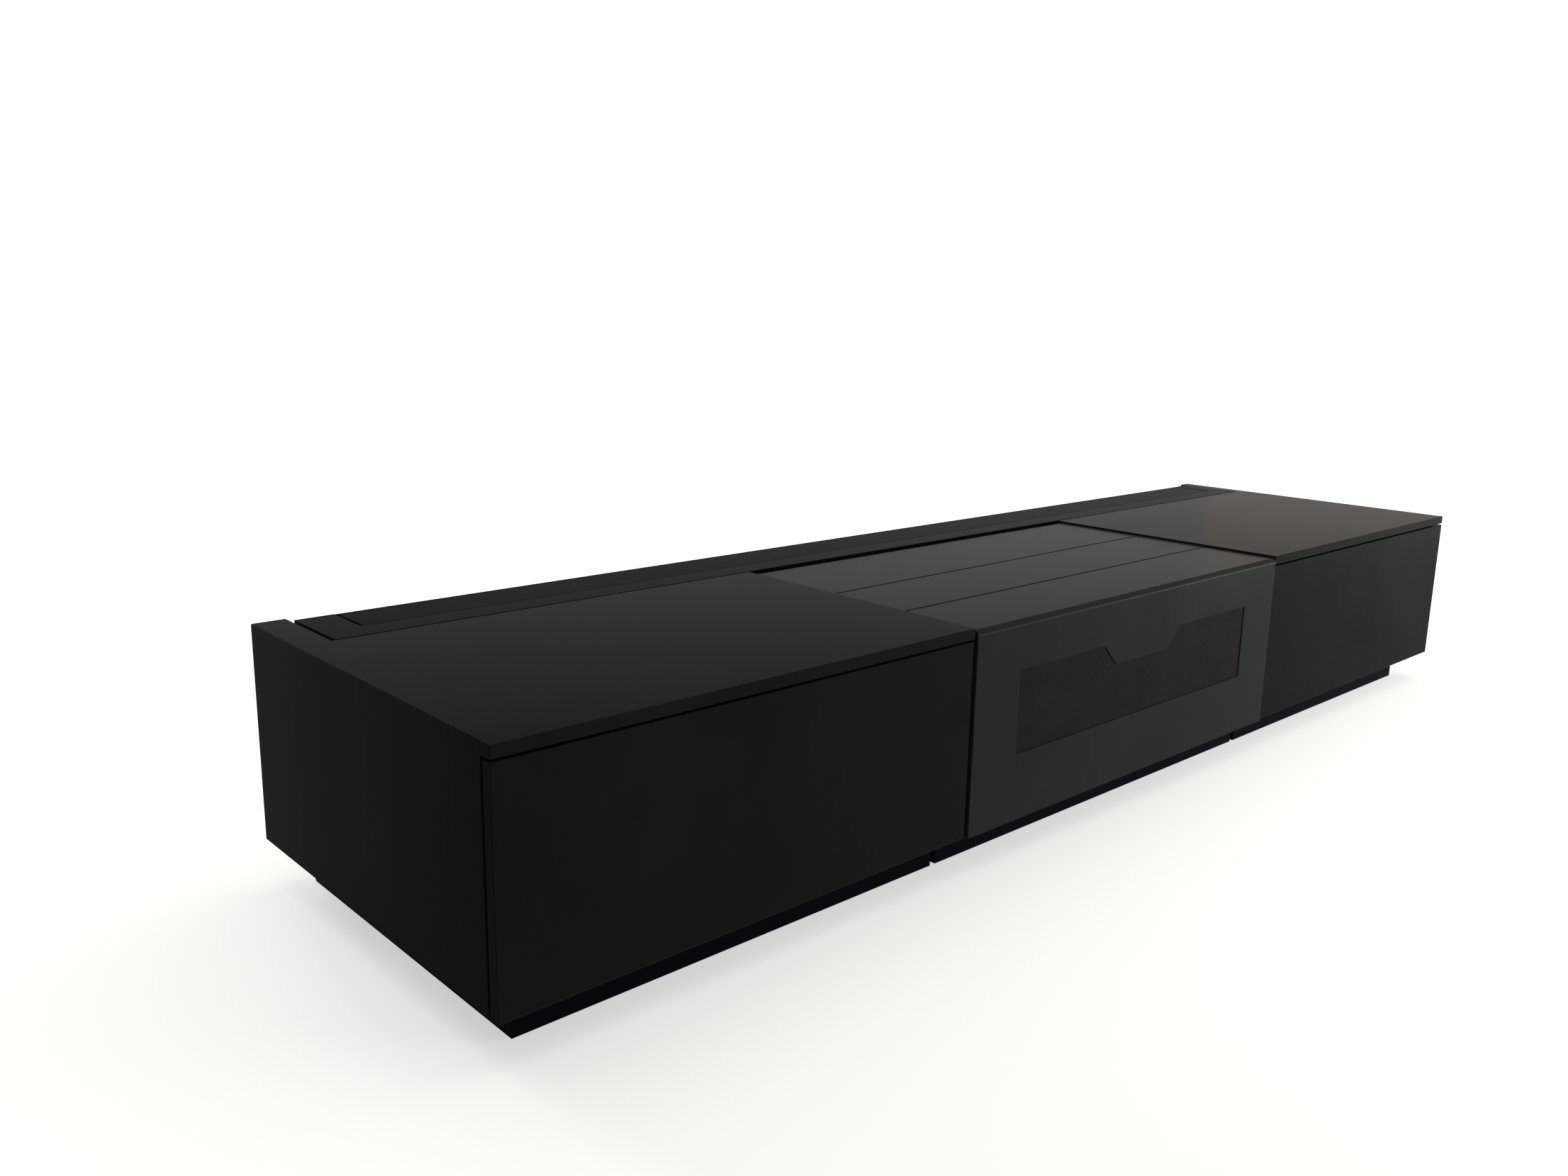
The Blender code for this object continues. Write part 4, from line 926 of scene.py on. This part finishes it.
@dataclass
class DrawerFittings(Assembly):
    """Runner wheels, brackets, bumpers and push latch of one drawer, the left one or its mirror image."""

    side: Side = Side.LEFT
    panels: Span = (1.184, 0.449)
    wheel: Point = (-0.282, 0.2382)
    wheel_x: Span = (0.0018, 0.0072)
    wheel_radii: Span = (0.0072, 0.0086)
    wheel_edge: float = 0.0008
    runner_y: Row = (-0.25, -0.08, 0.09)
    runner_z: float = 0.237
    runner_face: float = 0.0015
    runner_screw: float = 3 * MM
    wall: float = 0.0146
    plate: float = 0.0014
    plate_edge: float = 0.0005
    plate_width: float = 0.018
    plate_y: Span = (-0.3006, -0.2992)
    plate_z: Span = (0.12, 0.24)
    flange_y: Span = (-0.2994, -0.26)
    fixing_z: Span = (0.14, 0.22)
    fixing_x: float = 0.01
    fixing_y: float = -0.275
    fixings: Span = (3.2 * MM, 2.8 * MM)
    bumper_x: Span = (1.192, 0.441)
    bumper_z: Span = (0.09, 0.33)
    bumper: Points = ((-0.297, 0.0035), (-0.2977, 0.0035), (-0.2982, 0.0024))
    latch_x: float = 0.8165
    latch_half: float = 0.009
    latch_y: Span = (-0.296, -0.24)
    latch_z: Span = (0.0762, 0.0885)
    latch_edge: float = 0.001
    latch_tip: Points = ((-0.2965, 0.0036), (-0.2979, 0.0036), (-0.2983, 0.0028))
    latch_tip_z: float = 0.0824

    def build(self) -> None:
        """Builds the pieces on the cabinet and on the drawer, then the bumpers and the latch."""
        tag, drawer = self.side.name.lower(), Body[f"{self.side.name}_DRAWER"]
        wheels, screws, plates, fixings = Shape(), Shape(), Shape(), Shape()
        (rim, tread), edge = self.wheel_radii, self.wheel_edge
        places = [(y, self.runner_z) for y in self.runner_y]
        for panel, inward in zip(self.panels, (-1, 1)):
            face, way = self.side * panel, self.side * inward
            low, high = reach(face, way, *self.wheel_x)
            section = [(low, rim), (low + edge, tread), (high - edge, tread), (high, rim)]
            wheels.turned(section, Axis.X, self.wheel)
            screws.screws(Axis.X, places, face + way * self.runner_face, way, self.runner_screw)
            wall = face + way * self.wall
            plates.block(reach(wall, way, 0, self.plate_width), self.plate_y, self.plate_z, self.plate_edge)
            plates.block(reach(wall, way, 0, self.plate), self.flange_y, self.plate_z, self.plate_edge)
            front = product([wall + way * self.fixing_x], self.fixing_z)
            fixings.screws(Axis.Y, front, self.plate_y[1], 1, self.fixings[0])
            side = product([self.fixing_y], self.fixing_z)
            fixings.screws(Axis.X, side, wall + way * self.plate, way, self.fixings[1])
        wheels.piece(f"{tag}_runner_wheels", Slot.RACK_POLYMER, Body.CABINET, NYLON)
        screws.piece(f"{tag}_runner_screws", Slot.ZINC_STEEL, Body.CABINET)
        plates.piece(f"{tag}_drawer_brackets", Slot.ZINC_STEEL, drawer)
        fixings.piece(f"{tag}_drawer_screws", Slot.DRAWER_STEEL, drawer, BLACK_OXIDE)
        self.bumpers(tag)

    def bumpers(self, tag: str) -> None:
        """Builds the rubber buttons that meet the drawer's front, and the push latch under it.

        Args:
            tag: "left" or "right", for the pieces' names.
        """
        buttons, latch = Shape(), Shape()
        for x, z in product(self.bumper_x, self.bumper_z):
            buttons.turned(self.bumper, Axis.Y, (self.side * x, z), steps=20)
        buttons.piece(f"{tag}_front_bumpers", Slot.CONTROL_PLASTIC, Body.CABINET, RUBBER)
        x = self.side * self.latch_x
        latch.block((x - self.latch_half, x + self.latch_half), self.latch_y, self.latch_z, self.latch_edge)
        latch.turned(self.latch_tip, Axis.Y, (x, self.latch_tip_z), steps=20)
        latch.piece(f"{tag}_push_latch", Slot.CONTROL_PLASTIC, Body.CABINET)


@dataclass
class ScreenFilm(Assembly):
    """The screen's film: the stretch up to the top bar, and the rest wound on its roller."""

    x: Span = (-1.045, 1.085)
    low: float = 0.25
    high: float = 0.3705
    front: float = 0.2441
    thickness: float = 0.0006
    travel: float = 1.25
    picture: Span = (0.405, 1.551)
    border: float = 0.0465
    rows: int = 96
    halvings: int = 60
    slack: float = 1e-6
    roller: Point = (0.2105, 0.25)
    radii: Span = (0.03, 0.033)
    layer: float = 0.00045
    gap: float = 0.00005
    turn_steps: int = 32
    tube_ends: Span = (-1.082, 1.122)
    journals: Span = (-1.101, 1.136)
    journal_radius: float = 0.006
    plug_radius: float = 0.012
    plug: float = 0.0008
    tube_edge: float = 0.001

    def build(self) -> None:
        """Builds the risen stretch, the roll and its tube."""
        self.stretch()
        self.roll()
        self.tube()

    def share(self, z: float) -> float:
        """Returns how far a height at rest has gone over from the roller to the top bar, from 0 to 1."""
        t = (z - self.low) / (self.high - self.low)
        return t * t * (3 - 2 * t)

    def rest_height(self, raised: float) -> float:
        """Finds the height at rest of a level that stands at a height when the screen is fully up.

        Args:
            raised: The level's height with the screen fully up.

        Returns:
            Its height at rest.
        """
        low, high = self.low, self.high
        for _ in range(self.halvings):
            middle = (low + high) / 2
            if middle + self.travel * self.share(middle) < raised:
                low = middle
            else:
                high = middle
        return (low + high) / 2

    def zone(self, side: int, column: int, raised: float) -> int:
        """Returns 0 for the picture's area and 1 for the border and the backing."""
        inside = self.picture[0] - self.slack <= raised < self.picture[1] - self.slack
        return 0 if side == 0 and column == 1 and inside else 1

    def stretch(self) -> None:
        """Builds the stretch of film, its rows set at the heights at rest that stand evenly apart with the
        screen fully up.
        """
        top = self.high + self.travel
        raised = [self.low + (top - self.low) * row / self.rows for row in range(self.rows + 1)]
        raised = sorted(set(raised) | set(self.picture))
        levels = [self.low] + [self.rest_height(z) for z in raised[1:-1]] + [self.high]
        columns = [self.x[0], self.x[0] + self.border, self.x[1] - self.border, self.x[1]]
        film = Shape()
        grid = {
            (side, row, column): film.mesh.verts.new((x, y, z))
            for side, y in enumerate((self.front, self.front + self.thickness))
            for row, z in enumerate(levels)
            for column, x in enumerate(columns)
        }
        last, quads = len(levels) - 1, []
        turns = ((0, 0), (0, 1), (1, 1), (1, 0))
        for row, column, side in product(range(last), range(3), (0, 1)):
            corners = [(side, row + up, column + right) for up, right in turns]
            quads.append((corners, self.zone(side, column, raised[row])))
        for row, column in product(range(last), (0, 3)):
            quads.append(([(side, row + up, column) for side, up in turns], 1))
        for row, column in product((0, last), range(3)):
            quads.append(([(side, row, column + right) for side, right in turns], 1))
        for corners, zone in quads:
            film.mesh.faces.new([grid[corner] for corner in corners]).material_index = zone
        bmesh.ops.recalc_face_normals(film.mesh, faces=list(film.mesh.faces))
        piece = film.piece("film_stretch", Slot.ROLL_FILM, finish=SCREEN_FILM)
        piece.data.materials.append(FILM_BORDER.material())
        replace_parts(piece, "screen_film")
        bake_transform(piece)

    def roll(self) -> None:
        """Builds the wound film as one spiral of real layers."""
        turns = (self.radii[1] - self.radii[0]) / self.layer
        steps = round(turns * self.turn_steps)
        outer, inner = [], []
        for step in range(steps + 1):
            angle = -math.tau * turns * step / steps
            radius = self.radii[1] - self.layer * turns * step / steps
            ray = Vector((math.cos(angle), math.sin(angle)))
            outer.append(tuple(Vector(self.roller) + ray * radius))
            inner.append(tuple(Vector(self.roller) + ray * (radius - self.layer + self.gap)))
        film = Shape()
        film.tube(outer, inner, Axis.X, self.x, closed=False)
        roll = film.piece("film_roll", Slot.ROLL_FILM, Body.ROLLER)
        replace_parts(roll, "fabric_roller")

    def tube(self) -> None:
        """Builds the roller's tube with its end plugs and journals."""
        radius = self.radii[0] - self.layer - self.gap
        pin, plug, step, edge = self.journal_radius, self.plug_radius, self.plug, self.tube_edge
        halves = [
            [
                (end, pin - step),
                (end + way * step, pin),
                (face - way * step, pin),
                (face - way * step, plug),
                (face, plug),
                (face, radius - edge),
                (face + way * edge, radius),
            ]
            for end, face, way in zip(self.journals, self.tube_ends, (1, -1))
        ]
        tube = Shape()
        tube.turned(halves[0] + halves[1][::-1], Axis.X, self.roller, steps=64)
        tube.piece("roller_tube", Slot.ARM_ALLOY, Body.ROLLER)


@dataclass
class ArmFittings(Assembly):
    """Washers and caps on the pivots of the screen's two folding arms."""

    shoulders: Span = (-0.04, 0.08)
    arm_length: float = 1.0
    level: float = 0.3
    bore: float = 0.0052
    cap_radius: float = 0.0085
    top_cap_radius: float = 0.0075
    washer_radii: Span = (0.01, 0.0095)
    shoulder_y: Span = (0.2712, 0.2738)
    elbow_y: Span = (0.2842, 0.2872)
    elbow_washer_y: Span = (0.2712, 0.2748)
    top_y: Span = (0.3004, 0.3018)
    top_washer_y: Span = (0.2842, 0.296)
    cap_steps: Points = ((0, 1), (2 / 3, 1), (1, 0.88), (1, 0.6), (2 / 3, 0.55), (2 / 3, 0.3))

    def build(self) -> None:
        """Builds the shoulder caps, then the caps of each elbow and each top pivot."""
        caps = Shape()
        for x in self.shoulders:
            self.cap(caps, x, self.shoulder_y, self.cap_radius)
        caps.piece("shoulder_caps", Slot.ZINC_STEEL, Body.CABINET)
        for side, shoulder in zip(Side, self.shoulders):
            tag, elbow = side.name.lower(), shoulder + side * self.arm_length
            joint, top = Shape(), Shape()
            self.cap(joint, elbow, self.elbow_y, self.cap_radius)
            joint.ring(Axis.Y, (elbow, self.level), (self.bore, self.washer_radii[0]), self.elbow_washer_y)
            joint.piece(f"elbow_cap_{tag}", Slot.ZINC_STEEL, Body[f"ARM_LOWER_{side.name}"])
            self.cap(top, shoulder, self.top_y, self.top_cap_radius)
            top.ring(Axis.Y, (shoulder, self.level), (self.bore, self.washer_radii[1]), self.top_washer_y)
            top.piece(f"top_pivot_cap_{tag}", Slot.ZINC_STEEL, Body[f"ARM_UPPER_{side.name}"])

    def cap(self, shape: Shape, x: float, span: Span, radius: float) -> None:
        """Adds a retaining cap with a turned groove.

        Args:
            shape: The shape that gets the cap.
            x: Where the pivot stands.
            span: Where the cap starts and ends along the pivot.
            radius: Its radius.
        """
        near, far = span
        steps = [(near + (far - near) * along, radius * share) for along, share in self.cap_steps]
        shape.turned(steps, Axis.Y, (x, self.level))


@dataclass
class HousingFittings(Assembly):
    """Top trim, end blocks and fastenings of the screen's housing, and the grommet of the cable gate."""

    x: Span = (-1.146, 1.166)
    y: Span = (0.1715, 0.305)
    lid_x: Span = (-1.0892, 1.1292)
    lid_front: float = 0.2178
    top: float = 0.3735
    trim: float = 0.0004
    trim_corner: float = 0.0012
    trim_notch: float = 0.0005
    crown_low: float = 0.345
    crown_cut: float = 0.02
    block_edge: float = 0.0003
    screw_x: Row = (-1.09, -0.66, -0.22, 0.22, 0.66, 1.11)
    screw_z: Span = (0.212, 0.362)
    screw: float = 3.6 * MM
    bolt_x: Row = (-0.96, -0.6, -0.36, 0.1, 0.48, 0.96)
    bolt_y: float = 0.255
    bolt_faces: Span = (0.2007, 0.0793)
    bolt: float = 8 * MM
    gate_x: Span = (0.16, 0.32)
    gate_z: Span = (0.153, 0.196)
    gate_radius: float = 0.0209
    gate_snug: float = 0.0002
    gate_lip: float = 0.004
    grommet_y: Span = (0.1405, 0.1595)
    lips_y: tuple[Span, ...] = ((0.14, 0.1418), (0.1582, 0.16))

    def build(self) -> None:
        """Builds the top trim, end blocks, rear screws, the cradle's bolts and the grommet."""
        self.top_trim()
        for side, inner in zip(Side, self.lid_x):
            self.end_block(side, inner)
        screws, bolts = Shape(), Shape()
        screws.screws(Axis.Y, product(self.screw_x, self.screw_z), self.y[1], 1, self.screw)
        screws.piece("housing_rear_screws", Slot.SCREEN_ALLOY, Body.CABINET, BLACK_OXIDE)
        for face, out in zip(self.bolt_faces, (-1, 1)):
            bolts.bolts(Axis.Z, [(x, self.bolt_y) for x in self.bolt_x], face, out, self.bolt)
        bolts.piece("cradle_bolts", Slot.ZINC_STEEL, Body.CABINET)
        self.grommet()

    def top_trim(self) -> None:
        """Builds the thin trim over the housing's lip and both end blocks, open at the rear for the lid."""
        (left, right), (front, rear), (near, far) = self.x, self.y, self.lid_x
        corner, notch = self.trim_corner, self.trim_notch
        outline = [
            (left, front, corner),
            (right, front, corner),
            (right, rear, corner),
            (far, rear, notch),
            (far, self.lid_front, notch),
            (near, self.lid_front, notch),
            (near, rear, notch),
            (left, rear, corner),
        ]
        sheet = Shape()
        sheet.prism(rounded(outline), Axis.Z, (self.top, self.top + self.trim))
        sheet.piece("housing_top_trim", Slot.SCREEN_ALLOY, Body.CABINET, ANODISED_SHEET)

    def end_block(self, side: Side, inner: float) -> None:
        """Builds one end block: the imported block, with its crown cut back to the gap beside the lid.

        Args:
            side: The side that it stands on.
            inner: Where the crown ends beside the lid.
        """
        tag = side.name.lower()
        node = f"screen_cap_{tag}"
        piece = stand(f"end_block_{tag}", frame["nodes"][node].data.copy())
        piece.data.materials.clear()
        piece.data.materials.append(MOULDED_ABS.material())
        cutter = Shape()
        cutter.block(
            reach(inner, -side, 0, self.crown_cut),
            (self.lid_front, self.y[1] + MM),
            (self.crown_low, self.top + MM),
        )
        cutter.carve(piece)
        soften(piece, self.block_edge)
        enter(piece)
        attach(piece, Body.CABINET.value)
        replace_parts(piece, node)

    def grommet(self) -> None:
        """Builds the rubber grommet of the cable gate in the middle bay's back board."""
        inner, snug, wide = (
            oblong(self.gate_x, self.gate_z, self.gate_radius + rounder, grown, steps=10)
            for rounder, grown in ((-MM, -MM), (0, -self.gate_snug), (self.gate_lip, self.gate_lip))
        )
        rubber = Shape()
        rubber.tube(snug, inner, Axis.Y, self.grommet_y)
        for span in self.lips_y:
            rubber.tube(wide, inner, Axis.Y, span)
        rubber.piece("cable_gate_grommet", Slot.CONTROL_PLASTIC, Body.CABINET, RUBBER)


@dataclass(frozen=True)
class Lamp:
    """A rectangular soft lamp, which hangs at a place and faces a point. Its colour is sRGB hex."""

    name: str
    place: Place
    aim: Place
    size: Span
    watts: float
    colour: str = "ffffff"

    def hang(self) -> None:
        """Makes the lamp."""
        data = bpy.data.lights.new(self.name, "AREA")
        data.shape = "RECTANGLE"
        data.size, data.size_y = self.size
        data.energy = self.watts
        data.color = linear(self.colour)[:3]
        made = stand(self.name, data)
        made.location = self.place
        made.rotation_euler = (Vector(self.aim) - Vector(self.place)).to_track_quat("-Z", "Y").to_euler()


@dataclass
class Studio:
    """Camera, lamps, floor and backdrop. The camera was fitted to the cabinet's edges in the photograph."""

    camera_place: Place = (-1.8217, -1.4262, 0.8179)
    yaw: float = 0.7445
    pitch: float = 0.219
    roll: float = 0.0192
    lens_mm: float = 29.67
    sensor_mm: float = 36.0
    floor_half: float = 40.0
    floor_z: float = -0.0005
    floor_colour: str = "e6e6e5"
    seen_floor_colour: str = "e8e8e7"
    white: str = "ffffff"
    shadow_reach: Span = (1.6, 5.0)
    floor_glow: Span = (0.55, 1.0)
    room_strength: float = 0.2
    white_strength: float = 1.0
    lamps: tuple[Lamp, ...] = (
        Lamp("overhead", (0.5, 0.3, 3.4), (0.3, 0.0, 0.2), (6.0, 4.0), 72, "fff5e6"),
        Lamp("near_right", (2.9, -2.5, 0.42), (0.7, -0.3, 0.12), (3.2, 0.8), 110, "fffcf8"),
        Lamp("far_card", (4.8, 1.4, 1.3), (0.6, 0.0, 0.4), (1.6, 0.9), 1.2, "ffb878"),
        Lamp("rear", (-1.3, 3.4, 1.5), (0.0, 0.3, 0.2), (1.8, 1.6), 50),
        Lamp("low_front", (1.7, -2.1, 0.2), (1.0, -0.3, 0.05), (2.6, 0.36), 44, "fffcf8"),
    )

    def build(self) -> None:
        """Sets up the whole studio."""
        self.camera()
        self.floor()
        self.world()
        for lamp in self.lamps:
            lamp.hang()
        bpy.context.scene.view_settings.view_transform = "Standard"

    def camera(self) -> None:
        """Makes the camera at the photograph's place, turn and lens."""
        data = bpy.data.cameras.new("camera")
        data.sensor_fit = "HORIZONTAL"
        data.sensor_width = self.sensor_mm
        data.lens = self.lens_mm
        turn = Matrix.Rotation(-self.yaw, 4, "Z") @ Matrix.Rotation(math.pi / 2 - self.pitch, 4, "X")
        made = stand("camera", data)
        made.matrix_world = Matrix.Translation(self.camera_place) @ turn @ Matrix.Rotation(self.roll, 4, "Z")
        bpy.context.scene.camera = made

    def by_sight(self, tree: Tree, unseen: Node, seen: Node) -> Node:
        """Mixes two shaders by whether the camera sees them, directly, in a gloss or through glass.

        Args:
            tree: The node tree.
            unseen: The shader for all other light.
            seen: The shader for what is seen.

        Returns:
            The node of the mixed shader.
        """
        rays = add_node(tree, "LightPath", {}).outputs
        share = rays["Is Camera Ray"]
        for way in ("Is Glossy Ray", "Is Transmission Ray"):
            share = add_node(tree, "Math", {0: share, 1: rays[way]}, operation="MAXIMUM")
        return add_node(tree, "MixShader", {0: share, 1: unseen, 2: seen})

    def floor(self) -> None:
        """Makes the floor: pale, white to the camera, with the cabinet's shadow kept near it."""
        ground = Shape()
        bmesh.ops.create_grid(ground.mesh, x_segments=2, y_segments=2, size=self.floor_half)
        made = stand("floor", ground.data("floor"))
        made.location.z = self.floor_z
        paint = bpy.data.materials.new("matte_studio_floor")
        tree = bare_tree(paint)
        place = add_node(tree, "TexCoord", {}).outputs["Object"]
        away = add_node(tree, "VectorMath", {0: place}, operation="LENGTH").outputs["Value"]
        ramp = {"Value": away}
        ramp["From Min"], ramp["From Max"] = self.shadow_reach
        ramp["To Min"], ramp["To Max"] = self.floor_glow
        strength = add_node(tree, "MapRange", ramp, interpolation_type="SMOOTHSTEP")
        plain = add_node(tree, "BsdfDiffuse", {"Color": linear(self.floor_colour)})
        pale = add_node(tree, "BsdfDiffuse", {"Color": linear(self.seen_floor_colour)})
        glow = add_node(tree, "Emission", {"Color": linear(self.white), "Strength": strength})
        bright = add_node(tree, "AddShader", {0: pale, 1: glow})
        add_node(tree, "OutputMaterial", {"Surface": self.by_sight(tree, plain, bright)})
        made.data.materials.append(paint)

    def world(self) -> None:
        """Makes the backdrop: white where it is seen, a dimmer even room for all other light."""
        world = bpy.data.worlds.new("studio")
        bpy.context.scene.world = world
        tree = bare_tree(world)
        room, white = (
            add_node(tree, "Background", {"Color": linear(self.white), "Strength": strength})
            for strength in (self.room_strength, self.white_strength)
        )
        add_node(tree, "OutputWorld", {"Surface": self.by_sight(tree, room, white)})


def dress_nodes() -> None:
    """Gives every node of the frame the finish of its material slot."""
    finishes = dict(slot.value for slot in Slot)
    slots = {entry["node"]: entry["material_slot"] for entry in frame["record"]["subparts"]}
    for name, node in frame["nodes"].items():
        for slot in node.material_slots:
            slot.material = finishes[slots[name]].material()
        LOG.info("dressed %s as %s", name, slots[name])


def main() -> None:
    """Builds the studio, dresses the frame and builds the fine pieces."""
    logging.basicConfig(level=logging.INFO, format="%(message)s")
    Studio().build()
    dress_nodes()
    assemblies: list[Assembly] = [MetalFront(), TrayFittings(), DriveFittings(), ControlBox()]
    assemblies += [DrawerFittings(side) for side in Side]
    assemblies += [ScreenFilm(), ArmFittings(), HousingFittings()]
    for assembly in assemblies:
        assembly.build()
        LOG.info("built %s", type(assembly).__name__)


if __name__ == "__main__":
    main()
